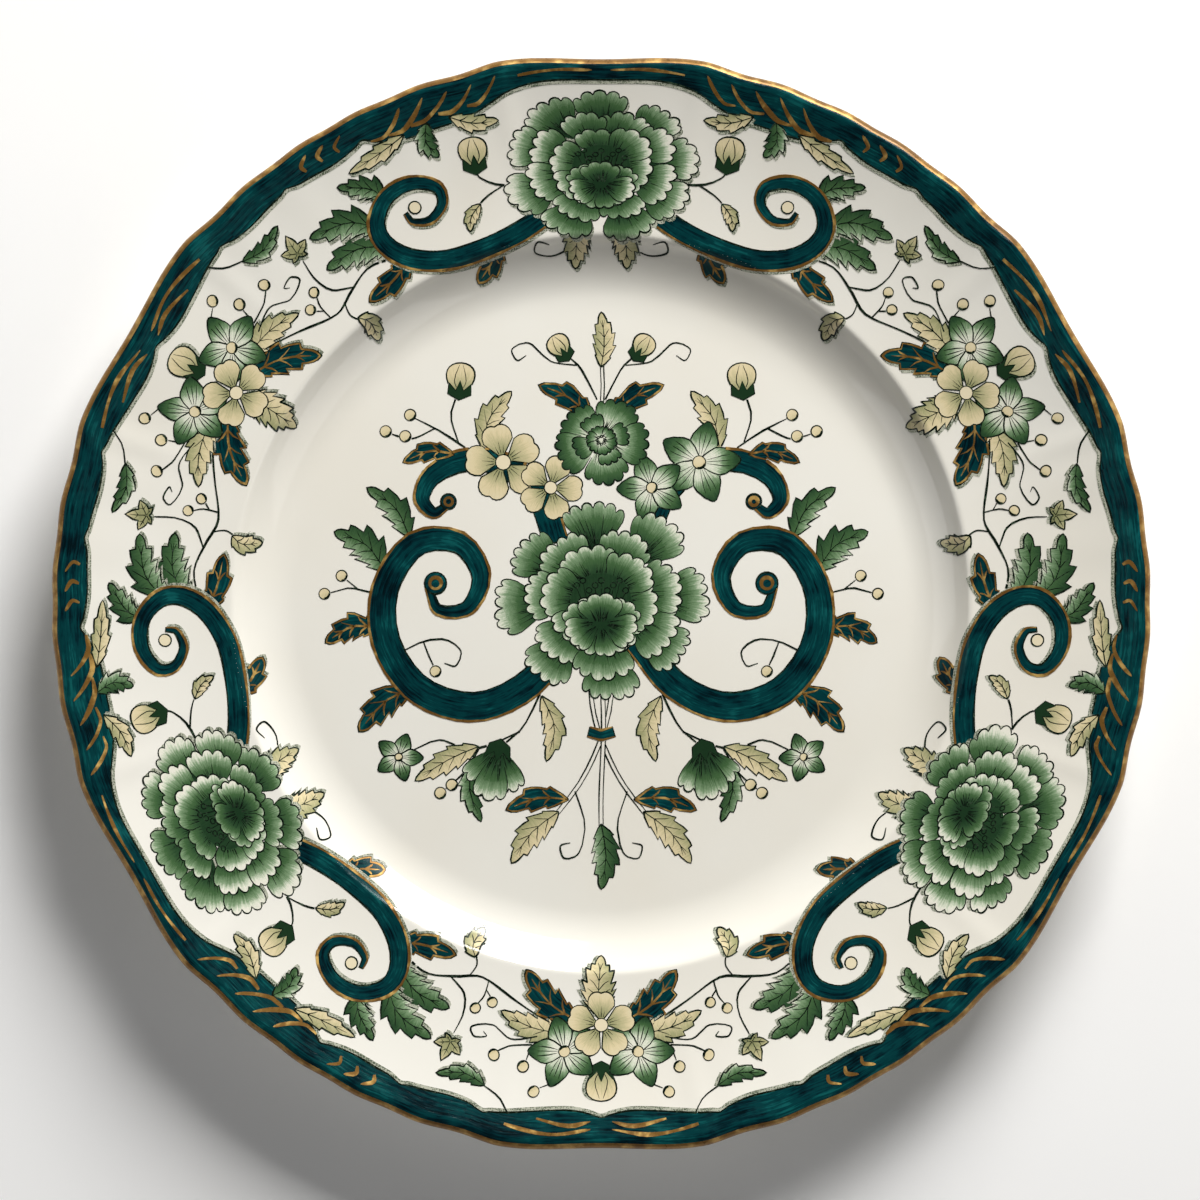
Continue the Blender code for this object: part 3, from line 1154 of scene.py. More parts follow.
@dataclass(frozen=True)
class Flower:
    """A full ruffled flower, built up from its back row of petals to its heart."""

    rows: tuple[PetalRow, ...]
    turned: bool = False
    cup: bool = True

    def draw(self, art: Artwork, place: Place) -> None:
        """Draw the flower.

        Args:
            art: The drawing.
            place: Its heart, with its half-width as the size.
        """
        for number, row in enumerate(self.rows):
            for index in range(row.count):
                aim = row.first + 360.0 * index / row.count + art.hand.uniform(-5.0, 5.0)
                base = polar(aim, row.out)[0]
                own = place.at(base[0], base[1], aim - 90.0)
                reach = row.reach * art.hand.uniform(0.93, 1.07)
                art.petal(own, reach, row.fan, row.scallops, row.start, self.turned)
            if number == 0 and art.shadow_by is not None:
                self.cast(art)
        art.wash(Tone.GREEN, place(ring(18, 0.3)), lambda points: points * (1.0, 0.0) + (0.0, 0.1))
        if self.cup:
            self.heart(art, place)
        else:
            self.whorl(art, place)

    def cast(self, art: Artwork) -> None:
        """Slip the flower's shadow under its back row of petals.

        Args:
            art: The drawing, whose last washes are that row.
        """
        back = art.washes[-self.rows[0].count:]
        offset = np.array(art.shadow_by)
        first = len(art.washes) - len(back)
        art.washes[first:first] = [Wash(Tone.SHADE, wash.outline + offset, wash.grade) for wash in back]
        for index, stroke in enumerate(art.strokes):
            if stroke.level > first:
                art.strokes[index] = replace(stroke, level=stroke.level + len(back))

    def whorl(self, art: Artwork, place: Place) -> None:
        """Draw an open heart: an inner whorl of small petals about its seeds.

        Args:
            art: The drawing.
            place: The flower's place.
        """
        for index in range(6):
            art.petal(place.at(0, 0, 60.0 * index + 15.0), 0.34, 36.0, 3, 0.1, True, 0.14)
        for index in range(8):
            seed = polar(45.0 * index, 0.09)[0]
            art.stroke(place.at(seed[0], seed[1], 0.0, 0.028)(ring(8, 1.0)), 0.1, closed=True)

    def heart(self, art: Artwork, place: Place) -> None:
        """Draw a full heart: stamens behind a cup of small petals.

        Args:
            art: The drawing.
            place: The flower's place.
        """
        for index in range(9):
            x = -0.24 + 0.06 * index
            top = 0.14 + 0.06 * math.sin(index * 2.1)
            art.stroke(place(curve([(x * 0.7, -0.05), (x * 0.9, top * 0.6), (x, top)], steps=4)), 0.12)
            art.stroke(place.at(x, top + 0.03, 0.0, 0.03)(ring(8, 1.0)), 0.13, closed=True)
        for x, lean, reach in ((-0.2, 26.0, 0.34), (0.22, -24.0, 0.34), (0.0, 2.0, 0.38)):
            art.petal(place.at(x * 0.5, -0.3, lean), reach, 46.0, 4, 0.3)
        for lean in (150.0, 205.0, 250.0, 118.0):
            art.petal(place.at(0.0, -0.22, lean), 0.36, 40.0, 4, 0.25)


RIM_PEONY = Flower((PetalRow(9, 0.56, 0.46, 40, 5, 88), PetalRow(8, 0.52, 0.26, 40, 5, 66),
                    PetalRow(6, 0.46, 0.1, 44, 4, 100)))
LARGE_PEONY = Flower((PetalRow(8, 0.58, 0.46, 38, 6, 98), PetalRow(7, 0.54, 0.26, 42, 6, 70),
                      PetalRow(6, 0.48, 0.1, 44, 5, 110)))
OPEN_FLOWER = Flower((PetalRow(5, 0.98, 0.04, 39, 5, 62, 0.12),
                      PetalRow(4, 0.62, 0.02, 34, 4, 20, 0.1)), turned=True, cup=False)


class Spray:
    """Base of a region's drawing. Its own points lie in the plate's plane unless it charts them."""

    def plane(self, points: object) -> Points:
        """The spray's own points in the plate's plane."""
        return np.atleast_2d(np.asarray(points, float))

    def upright(self, x: float) -> float:
        """Turn in degrees of a motif that stands upright at a place of the spray."""
        return 0.0

    def sides(self, art: Artwork, about: float = 0.0) -> tuple["Side", "Side"]:
        """The left and the right side of a mirrored group."""
        return Side(self, art, -1.0, about), Side(self, art, 1.0, about)


@dataclass(frozen=True)
class Side:
    """One side of a mirrored group, whose motifs are given as they stand on its right side."""

    spray: Spray
    art: Artwork
    sign: float = 1.0
    about: float = 0.0

    def mirrored(self, points: object) -> Points:
        """The spray's own points, on this side."""
        return np.atleast_2d(np.asarray(points, float)) * (self.sign, 1.0) + (self.about, 0.0)

    def path(self, points: Sequence[Spot], steps: int = 7) -> Points:
        """Smooth curve on this side, in the plate's plane."""
        return self.spray.plane(self.mirrored(curve(points, steps=steps)))

    def place(self, x: float, y: float, lean: float = 0.0, size: float = 1.0, squash: float = 1.0) -> Place:
        """Place of a motif on this side, upright but for its lean in degrees."""
        own = self.mirrored((x, y))[0]
        at = self.spray.plane(own)[0]
        return put(at[0], at[1], self.spray.upright(own[0]) + lean * self.sign, size, squash)

    def leaf(self, kind: Leaf, half: float, *points: Spot) -> None:
        """Lay a leaf, half a width wide, along a curve."""
        self.art.leaf(self.path(points), half, kind)

    def tendrils(self, half: float, *lines: Sequence[Spot]) -> None:
        """Draw tendrils of one width."""
        for points in lines:
            self.art.tendril(self.mirrored(points), half)

    def berries(self, size: float, *spots: Spot) -> None:
        """Lay berries of one size."""
        for x, y in spots:
            self.art.berry(self.place(x, y, 0.0, size))

    def gold(self, half: float, ends: Pair, points: Sequence[Spot]) -> None:
        """Draw a gold stroke along a curve."""
        self.art.stroke(self.path(points), half, Tone.GILT, ends)

    def arm(self, points: Sequence[Spot], widths: Sequence[float], gold: float) -> None:
        """Lay a tapering enamel arm over its shadow.

        Args:
            points: Its middle line.
            widths: Half its width along that line.
            gold: The edge that is gilt on the right side, 1 for its left and -1 for its right.
        """
        line = self.path(points)
        half = np.interp(np.linspace(0, 1, len(line)), np.linspace(0, 1, len(widths)), widths)
        self.art.shadow(band_outline(line, sideways(line) * half[:, None]))
        self.art.strip(line, half, (gold * self.sign,), 0.18)


@dataclass(frozen=True)
class RimSpray(Spray):
    """One repeat of the border: a peony between mirrored scrolls, then a group of small flowers.

    Its points are degrees clockwise of the peony's direction, and radius. Both groups are
    symmetric about their own direction, and each stands in a hollow of the lobed edge.
    """

    heading: float = 90.0
    first: float = -45.0
    last: float = 75.0
    second: float = 60.0
    band_inner: float = 125.3
    band_outer: float = 131.85
    band_points: int = 800
    seed: int = 11

    def plane(self, points: object) -> Points:
        """Rim points, as degrees and radius, in the plate's plane."""
        turn, radius = np.atleast_2d(np.asarray(points, float)).T
        return polar(self.heading - turn, radius)

    def upright(self, x: float) -> float:
        """Turn of a motif whose own +Y points outwards."""
        return self.heading - x - 90.0

    def draw(self) -> Artwork:
        """Draw one repeat.

        Returns:
            The drawing.
        """
        fall = self.plane((35, 0.75))[0] - self.plane((0, 0.75))[0]
        art = Artwork(self.seed, (float(fall[0]), float(fall[1] - 0.7)), self.plane)
        self.band(art)
        self.band_gold(art)
        for side in self.sides(art):
            self.fringe(side)
            self.runner(side)
            self.scroll(side)
        for side in self.sides(art):
            side.leaf(Leaf.PEONY_STRAW, 3.5, (2.2, 93.4), (3.8, 88.6), (4.4, 82.2))
        RIM_PEONY.draw(art, Side(self, art).place(0, 106.6, 0, 23.6, 0.77))
        self.flower_group(art)
        return art

    def band(self, art: Artwork) -> None:
        """Lay the enamel band inside the lip, with its swellings and the tone under it.

        Args:
            art: The drawing.
        """
        whole = Side(self, art)
        half = [(0, 127.9), (5.5, 127.5), (9.5, 126), (12.5, 123.9), (16, 122.3), (20, 121.8),
                (23.6, 122.6), (26, 124.4), (27.3, 126.1), (28.4, 125.5), (32, 124.5), (35.6, 125.2),
                (37.2, 126.3), (38.4, 125.6), (42, 124.7)]
        group = [(14.4, 125.6), (13.2, 126.3), (12, 125.4), (8, 123.9), (4, 123.6), (1.4, 124.6)]
        right = half + [(self.second - off, r) for off, r in group] + [(self.second, 125.6)]
        right += [(self.second + off, r) for off, r in group[::-1]] + [(self.last, self.band_inner)]
        edge = [(self.first, self.band_inner)] + [(-turn, r) for turn, r in half[:0:-1]] + right
        inner = whole.path(edge, 4)
        turns = np.linspace(self.last, self.first, self.band_points)
        outer = self.plane([(turn, self.band_outer) for turn in turns])
        art.wash(Tone.SHADE, np.vstack([inner, whole.path([(turn, r - 1) for turn, r in edge], 4)[::-1]]))
        art.wash(Tone.ENAMEL, np.vstack([inner, outer]), lambda points: np.column_stack([
            np.arctan2(points[:, 1], points[:, 0]) * self.band_outer, np.hypot(*points.T)]))
        art.stroke(inner, 0.2, ends=(1, 1))

    def band_gold(self, art: Artwork) -> None:
        """Draw the gold feathers, hooks and sweeps on the band.

        Args:
            art: The drawing.
        """
        for side, beside in zip(self.sides(art), self.sides(art, self.second)):
            for number in range(5):
                start = 11.4 + 2.7 * number
                reach = 4.2 - 0.5 * abs(number - 2.5)
                side.gold(0.56 - 0.04 * abs(number - 2.5), (0.12, 0.55), [
                    (start, 129.6), (start + 0.32 * reach, 127.6 - 0.2 * reach),
                    (start + 0.8 * reach, 126.2 - 0.45 * reach),
                    (start + 1.25 * reach, 126.6 - 0.5 * reach)])
            for start in (30.2, 32.3, 34.4):
                side.gold(0.42, (0.2, 0.6), [(start - 1, 129.8), (start + 0.1, 128.2),
                                             (start - 0.1, 126.5)])
            for lift, reach in ((0, 10.6), (-1.9, 7.2)):
                beside.gold(0.46, (0.2, 0.6), [(1.2, 128.4 + lift), (0.5 * reach, 129.3 + lift),
                                               (reach, 127.4 + lift)])
            side.gold(0.36, (0.2, 0.6), [(1, 130.2), (4.5, 130.1), (9, 128.9)])

    def fringe(self, side: Side) -> None:
        """Leaves that hang from the band's swellings, and a sprig from its plain stretch.

        Args:
            side: The side to draw on.
        """
        side.leaf(Leaf.FRINGE_STRAW, 2.4, (17.4, 123.6), (15, 120.8), (12, 119.4))
        side.leaf(Leaf.FRINGE_STRAW, 2.3, (22.8, 123.4), (26.4, 121.4), (30.4, 121))
        side.leaf(Leaf.FRINGE_GREEN, 2.9, (20, 123.8), (20.8, 119.6), (20, 115.2))
        side.tendrils(0.2, [(49.6, 125), (48.2, 121.6), (45.4, 119.8)])
        side.leaf(Leaf.SPRIG_GREEN, 2.3, (46.4, 120.2), (43.6, 118.8), (40.6, 120.4))

    def scroll(self, side: Side) -> None:
        """One enamel scroll beside the peony, with its leaves and its gilt edge.

        Args:
            side: The side to draw on.
        """
        side.leaf(Leaf.SCROLL_GILT, 3.3, (28.6, 96.4), (32.6, 93.6), (37.6, 92.6))
        side.leaf(Leaf.SCROLL_GILT, 3.2, (16, 91.6), (17.4, 88), (21, 83.8))
        side.leaf(Leaf.SCROLL_GREEN, 4.3, (30.4, 100.6), (34.6, 104.6), (39.4, 105))
        side.leaf(Leaf.SCROLL_GREEN, 4.2, (30.4, 105.6), (33.6, 111), (38.6, 113.4))
        side.leaf(Leaf.SCROLL_GREEN, 3.3, (28.4, 110.4), (29, 115), (32.4, 119.4))
        side.arm([(7, 96.6), (12, 92.8), (18, 91), (24, 91.6), (28.6, 95.4), (30.9, 101), (30.8, 106.8),
                  (28.2, 111.4), (24.4, 112.2), (21.6, 109), (21.6, 104.8), (23.9, 102.2), (26.2, 103.4),
                  (26.6, 106)],
                 (2.5, 2.5, 2.4, 2.4, 2.4, 2.3, 2.1, 1.9, 1.7, 1.4, 1.2, 1, 0.7, 0.5), -1)
        side.art.shape(Tone.YELLOW, side.place(25.2, 106.4)(ring(14, 1.5)), None, 0.16)

    def runner(self, side: Side) -> None:
        """Buds by the peony, and the stem that runs on to the small flowers.

        Args:
            side: The side to draw on.
        """
        side.tendrils(0.28, [(30.2, 97.6), (34.6, 99.4), (38.6, 97.4), (42.4, 95.4), (47.6, 98.6),
                             (53, 102.6)])
        side.tendrils(0.22, [(38, 97.8), (40.6, 100.4), (41.4, 105), (41, 110.6)])
        for stalk, berry in (([(43.4, 95.6), (43.4, 99.4), (42.8, 102)], (42.7, 103)),
                             ([(43.4, 98), (44.4, 99.6)], (44.7, 100.6))):
            side.tendrils(0.2, stalk)
            side.berries(1.25, berry)
        side.tendrils(0.22, [(40.4, 96.4), (41, 93), (40, 89.6)])
        side.leaf(Leaf.RUNNER_STRAW, 2.6, (40.4, 91.4), (39.4, 88.6), (40.2, 84.2))
        side.tendrils(0.26, [(9, 103), (13.4, 104.6), (15.8, 107.6), (16.2, 110.4)])
        side.tendrils(0.22, [(13.2, 104.4), (15.6, 103), (17.6, 100.8)])
        side.tendrils(0.2, [(2.2, 94), (4, 88.4), (7.6, 85.8), (10.6, 87), (10, 89.4), (8.2, 88.4)])
        side.art.bud(side.place(16.2, 109.4, 8, 8))
        side.leaf(Leaf.BUD_STRAW, 1.9, (16.8, 101.6), (18.6, 99.2), (19.4, 96))
        side.art.ivy(side.place(41, 112.4, 8, 5))

    def flower_group(self, art: Artwork) -> None:
        """Small flowers between the peonies, with their leaves, berries and buds.

        Args:
            art: The drawing.
        """
        middle = Side(self, art, 1, self.second)
        for side in self.sides(art, self.second):
            side.tendrils(0.22, [(3, 104), (8.4, 108.4), (9.4, 112.4)], [(8, 108), (11.4, 109.2),
                                                                         (13.2, 111.6)],
                          [(2, 110), (4.6, 115.6), (7.4, 118.4)])
            side.berries(1.35, (9.6, 113.6), (13.4, 112.6), (7.9, 119.2))
            side.leaf(Leaf.LARGE_GILT, 4.1, (3, 102), (7.4, 98), (11.6, 91))
            side.leaf(Leaf.GROUP_STRAW, 3.5, (4, 105), (9, 104.4), (13.8, 102))
            side.tendrils(0.19, [(8.4, 106.2), (11.8, 107.8), (14.4, 105.8), (17, 107.4), (16.4, 109.6),
                                 (14.9, 108.9), (15.4, 107.9)])
        middle.leaf(Leaf.GROUP_TAIL, 4.4, (0, 101), (0.4, 94.6), (0, 86))
        art.bud(middle.place(0, 112.6, 0, 8.6))
        for side in self.sides(art, self.second):
            art.pointed(side.place(4.7, 109.4, -18, 8.2))
        art.blossom(middle.place(0, 102.8, 36, 8.4))


@dataclass(frozen=True)
class CentreSpray(Spray):
    """A bouquet for the well: a peony between mirrored scrolls, with small flowers about it."""

    seed: int = 23

    def draw(self) -> Artwork:
        """Draw the bouquet.

        Returns:
            The drawing.
        """
        art = Artwork(self.seed)
        self.stems(art)
        for side in self.sides(art):
            self.upper_sprays(side)
            self.lower_sprays(side)
            self.scrolls(side)
        self.crest(art)
        LARGE_PEONY.draw(art, put(0, 0.5, 0, 25, 0.93))
        return art

    def stems(self, art: Artwork) -> None:
        """Crossed stems of the bouquet, tied with a twist of gold.

        Args:
            art: The drawing.
        """
        for side in self.sides(art):
            art.stem(side.mirrored([(3, -14), (1.6, -28), (-4, -42), (-12, -53)]), 0.5)
            side.tendrils(0.2, [(-6.4, -46), (-4, -54), (-5.4, -61), (-9, -62.4), (-10, -59.4),
                                (-7.6, -58.6)])
            side.leaf(Leaf.WELL_STRAW, 3.6, (-10.4, -51), (-17, -56), (-22, -63.6))
            side.leaf(Leaf.WELL_GILT, 3.2, (-8, -48), (-15.6, -47.6), (-23.4, -50.6))
        art.stem([(0, -14), (0.6, -30), (0, -46), (0, -56)], 0.5)
        art.leaf(curve([(0, -54), (1.2, -62), (0, -70)]), 3.6, Leaf.WELL_TAIL)
        tie = curve([(-3.1, -31.4), (0, -32.2), (3.1, -31.4)])
        art.strip(tie, np.full(len(tie), 1.25), (1, -1), 0.16)

    def scrolls(self, side: Side) -> None:
        """The great scroll of one side, with its leaves and gilt edge.

        Args:
            side: The side to draw on.
        """
        side.leaf(Leaf.LARGE_GILT, 4.2, (46, -20.6), (53, -24), (59.4, -31.4))
        side.leaf(Leaf.LARGE_GILT, 3.6, (54.2, -6), (61, -5.6), (67.6, -9.6))
        side.leaf(Leaf.WELL_GREEN, 4.6, (52.8, 8), (57.6, 14.4), (65.4, 17.6))
        side.leaf(Leaf.WELL_GREEN_SMALL, 3.7, (47, 16.4), (50.4, 23.4), (57.4, 28.4))
        side.tendrils(0.22, [(51, -13), (44, -9.4), (38.2, -8.8), (34.4, -11.6), (35.6, -15.2),
                             (38.4, -14.6)],
                      [(43.6, -9.2), (42.4, -12.4), (41, -15.4)], [(52, 1.4), (61, 3.8), (66.6, 2.6)],
                      [(59.6, 3.6), (62.6, 6)])
        side.berries(1.35, (40.6, -16.6), (67.8, 2.4), (63.6, 6.8))
        side.arm([(9, -9), (18, -20), (31, -25.4), (44.4, -21.4), (52.6, -10), (53, 3.6), (45.6, 14.6),
                  (34.8, 15), (29.4, 7), (32.6, -1), (39.8, -1.6), (42.4, 4)],
                 (3.4, 3.5, 3.6, 3.6, 3.5, 3.3, 3.1, 2.7, 2.3, 1.8, 1.3, 0.8), -1)
        self.ball(side, (40.6, 5), 2.7)

    def ball(self, side: Side, spot: Spot, size: float) -> None:
        """Lay the enamel ball that ends a scroll, with a ring of gold on it."""
        middle = side.mirrored(spot)[0]
        side.art.shape(Tone.ENAMEL, ring(18, size) + middle, flat_grade(30))
        side.art.stroke(ring(18, size * 0.52) + middle, 0.4, Tone.GILT, closed=True)

    def upper_sprays(self, side: Side) -> None:
        """The upper arm of one side, with the flowers and sprigs that it carries.

        Args:
            side: The side to draw on.
        """
        side.tendrils(0.24, [(31, 36.6), (39, 42), (45.6, 45.4)], [(35, 39.6), (36.8, 46), (35, 52)],
                      [(40.6, 43), (46.4, 40.4), (51.6, 41.6)])
        side.berries(1.4, (46.8, 46.2), (52.8, 42.2), (48, 41))
        side.art.bud(side.place(34.8, 50.6, 4, 8))
        side.leaf(Leaf.WELL_STRAW, 3.4, (29, 38), (27.4, 45.4), (22, 52))
        side.arm([(11, 15), (15, 26), (23, 33.6), (33, 35.2), (41.2, 31.6), (44, 25.8), (41, 22.2),
                  (37.6, 24.2)], (3, 3.1, 3, 2.8, 2.4, 1.9, 1.3, 0.8), 1)
        self.ball(side, (37.4, 25), 1.9)
        side.leaf(Leaf.WELL_GILT, 2.6, (36, 36.6), (42, 37.4), (48.6, 34.6))
        flower = side.art.blossom if side.sign < 0 else side.art.pointed
        flower(side.place(24, 34.6, -14, 9.5))
        flower(side.place(12.4, 28.4, 20, 8))

    def lower_sprays(self, side: Side) -> None:
        """Hanging flower, leaves and berries under one side's scroll.

        Args:
            side: The side to draw on.
        """
        side.tendrils(0.26, [(14, -20), (19, -30), (24.6, -35)], [(20, -31.4), (28.4, -35), (35.6, -36)],
                      [(30, -35.6), (33.6, -41.4), (38.4, -45.6)], [(33, -36), (39.6, -33.4), (46.4, -36)])
        side.berries(1.4, (39.4, -46.4), (36.6, -44.4))
        side.leaf(Leaf.WELL_STRAW, 3.2, (30, -35), (37, -38), (45.6, -43.4))
        side.leaf(Leaf.WELL_STRAW_SMALL, 3, (14.6, -22.6), (11.4, -30.4), (13.4, -38.6))
        side.leaf(Leaf.HANGING_GREEN, 2.9, (31.4, -38.6), (32.2, -46), (29.4, -53.4))
        side.art.pointed(side.place(49.6, -37.6, 20, 5.6))
        x, y = side.mirrored((24.8, -34.4))[0]
        self.tulip(side.art, put(x, y, 180 + 12 * side.sign, 13))

    def crest(self, art: Artwork) -> None:
        """Open flower and sprig over the peony.

        Args:
            art: The drawing.
        """
        for side in self.sides(art):
            side.tendrils(0.24, [(1, 50), (5, 57.6), (8.6, 61)])
            art.bud(side.place(8.2, 60, -34, 6.4))
            side.tendrils(0.19, [(6, 58.4), (12.4, 59.4), (17.6, 63.8), (21.8, 62.4), (20.6, 59.6),
                                 (18.4, 60.8)])
            side.leaf(Leaf.WELL_GILT, 3.3, (2, 45), (8, 50.6), (15.4, 53.6))
        art.stem([(0, 46), (0.4, 53.6), (0, 61)], 0.4)
        art.leaf(curve([(0, 58), (0.8, 64), (0, 71.4)]), 2.9, Leaf.WELL_STRAW)
        OPEN_FLOWER.draw(art, put(0, 40, 0, 11.4, 0.92))

    def tulip(self, art: Artwork, place: Place) -> None:
        """A hanging tulip of three overlapping petals in its calyx.

        Args:
            art: The drawing.
            place: Its stalk's end.
        """
        for lean, reach, fan in ((30, 0.92, 20), (-30, 0.92, 20), (0, 1.06, 23)):
            art.petal(place.at(0, 0, lean), reach, fan, 3, 0.2)
        cap = place([(-0.26, 0.3), (-0.2, 0.02), (0, -0.1), (0.2, 0.02), (0.26, 0.3), (0.08, 0.16),
                     (0, 0.34),
                     (-0.1, 0.16)])
        art.shape(Tone.GREEN, cap, np.zeros_like, 0.12)


# ---- finishes

Colour = tuple[float, float, float]
Stops = Sequence[tuple[float, Colour]]


class SurfaceTree(Tree):
    """A material's nodes about one Principled shader."""

    def __init__(self, name: str) -> None:
        """Make the material.

        Args:
            name: Its name.
        """
        self.material = bpy.data.materials.new(name)
        self.material.use_nodes = True
        super().__init__(self.material.node_tree)
        self.group.nodes.clear()
        self.skin = self.group.nodes.new("ShaderNodeBsdfPrincipled")
        out = self.group.nodes.new("ShaderNodeOutputMaterial")
        self.group.links.new(self.skin.outputs[0], out.inputs["Surface"])
        self.spot = self.group.nodes.new("ShaderNodeTexCoord").outputs["Object"]

    def dress(self, plugs: dict[str, object]) -> Material:
        """Feed the shader and hand the material over.

        Args:
            plugs: The shader's inputs by name.

        Returns:
            The material.
        """
        for name, value in plugs.items():
            self.wire(self.skin.inputs[name], value)
        return self.material

    def sheen(self, grain: Socket, low: float, high: float) -> Socket:
        """Roughness that follows a noise from low to high."""
        return self.between(grain, 0.3, 0.7, low, high)

    def wash_map(self) -> Socket:
        """Coordinates along and across each brushed shape."""
        return self.out("ShaderNodeUVMap", uv_map=WASH)

    def scaled(self, vector: Socket, by: Colour, turn: float = 0.0) -> Socket:
        """Coordinates turned about Z, in degrees, and then stretched."""
        turned = self.out("ShaderNodeVectorRotate", {"Vector": vector, "Angle": math.radians(turn)},
                          rotation_type="Z_AXIS")
        plugs = {0: turned, 1: by}
        return self.out("ShaderNodeVectorMath", plugs, operation="MULTIPLY")

    def noise(self, vector: Socket, scale: float, detail: float = 2.0, rough: float = 0.55) -> Socket:
        """Smooth noise from 0 to 1."""
        return self.out("ShaderNodeTexNoise", {"Vector": vector, "Scale": scale, "Detail": detail,
                                               "Roughness": rough})

    def ramp(self, value: Socket, stops: Stops) -> Socket:
        """Colour from a value through a row of stops."""
        node = self.add("ShaderNodeValToRGB", {0: value})
        bar = node.color_ramp.elements
        while len(bar) < len(stops):
            bar.new(0.5)
        for element, (place, colour) in zip(bar, stops):
            element.position = place
            element.color = (*colour, 1.0)
        return node.outputs[0]

    def blend(self, share: object, first: object, second: object) -> Socket:
        """Mix of two colours."""
        node = self.add("ShaderNodeMix", {"Factor": share}, data_type="RGBA")
        for key, colour in ((6, first), (7, second)):
            self.wire(node.inputs[key], (*colour, 1.0) if isinstance(colour, tuple) else colour)
        return node.outputs[2]

    def bump(self, height: Socket, depth: float, under: Socket | None = None) -> Socket:
        """Normal from a height field whose full range is depth, in metres."""
        plugs: Plugs = {"Height": height, "Distance": depth}
        if under is not None:
            plugs["Normal"] = under
        return self.out("ShaderNodeBump", plugs)


@dataclass(frozen=True)
class Glaze:
    """Warm-white lead glaze: faintly wavy, with pinhole specks and fine scratches from knives."""

    body: Colour = (0.83, 0.812, 0.745)
    warm: Colour = (0.80, 0.768, 0.682)
    speck: Colour = (0.36, 0.31, 0.24)
    gloss: float = 0.07
    ripple: float = 0.00003

    def build(self) -> Material:
        """Build the material."""
        tree = SurfaceTree("lead_glaze")
        pool = tree.noise(tree.spot, 14.0, 3.0)
        colour = tree.blend(tree.between(pool, 0.35, 0.75), self.body, self.warm)
        cells = tree.add("ShaderNodeTexVoronoi", {"Vector": tree.spot, "Scale": 95.0})
        dot = tree.between(cells.outputs["Distance"], 0.02, 0.045, 1.0, 0.0)
        lot = tree.out("ShaderNodeSeparateColor", {0: cells.outputs["Color"]})
        rare = tree.math("GREATER_THAN", lot, 0.93)
        colour = tree.blend(tree.times(dot, tree.times(rare, 0.6)), colour, self.speck)
        marks = None
        for turn, stretch in ((17.0, 2600.0), (63.0, 2100.0), (118.0, 2900.0)):
            lines = tree.noise(tree.scaled(tree.spot, (26.0, stretch, 1.0), turn), 1.0, 1.0)
            line = tree.between(lines, 0.735, 0.775)
            marks = line if marks is None else tree.math("MAXIMUM", marks, line)
        sheen = tree.sheen(tree.noise(tree.spot, 60.0), self.gloss, self.gloss + 0.05)
        rough = tree.math("MULTIPLY_ADD", marks, 0.14, sheen)
        wave = tree.bump(tree.noise(tree.spot, 90.0, 1.5), self.ripple)
        return tree.dress({"Base Color": colour, "Roughness": rough, "Normal": wave, "IOR": 1.52,
                           "Coat Weight": 0.25, "Coat Roughness": 0.04})


@dataclass(frozen=True)
class Clay:
    """Bare fired clay of the foot ring, fine-grained and dirtied where it stands."""

    body: Colour = (0.70, 0.62, 0.49)
    soil: Colour = (0.33, 0.27, 0.19)

    def build(self) -> Material:
        """Build the material."""
        tree = SurfaceTree("bare_clay")
        grain = tree.noise(tree.spot, 1800.0, 4.0, 0.7)
        dirt = tree.between(tree.noise(tree.spot, 70.0, 4.0), 0.45, 0.75, 0.0, 0.7)
        colour = tree.blend(dirt, self.body, self.soil)
        colour = tree.blend(tree.between(grain, 0.6, 0.75, 0.0, 0.5), colour, self.soil)
        return tree.dress({"Base Color": colour, "Roughness": tree.sheen(grain, 0.7, 0.9),
                           "Normal": tree.bump(grain, 0.00012)})


@dataclass(frozen=True)
class Enamel:
    """Deep blue-green enamel laid on by brush: streaky, pooled dark in places, thin in others."""

    deep: Colour = (0.0008, 0.0165, 0.0225)
    body: Colour = (0.0012, 0.036, 0.0405)
    thin: Colour = (0.0045, 0.088, 0.088)
    lines: Colour = (0.0006, 0.0065, 0.009)

    def build(self) -> Material:
        """Build the material."""
        tree = SurfaceTree("brushed_enamel")
        flow = tree.wash_map()
        streak = tree.noise(tree.scaled(flow, (0.09, 1.5, 1.0)), 1.0, 3.0, 0.6)
        fine = tree.noise(tree.scaled(flow, (0.3, 5.5, 1.0)), 1.0, 2.0)
        pool = tree.noise(tree.spot, 120.0, 3.0)
        level = tree.math("MULTIPLY_ADD", streak, 0.42, tree.times(pool, 0.42))
        level = tree.math("MULTIPLY_ADD", fine, 0.16, level)
        colour = tree.ramp(tree.between(level, 0.375, 0.625), (
            (0.0, self.lines), (0.22, self.deep), (0.5, self.body), (0.75, self.body), (1.0, self.thin)))
        ridge = tree.bump(streak, 0.00005)
        return tree.dress({"Base Color": colour, "Roughness": tree.sheen(fine, 0.13, 0.24),
                           "Normal": tree.bump(fine, 0.00002, ridge), "Specular IOR Level": 0.25})


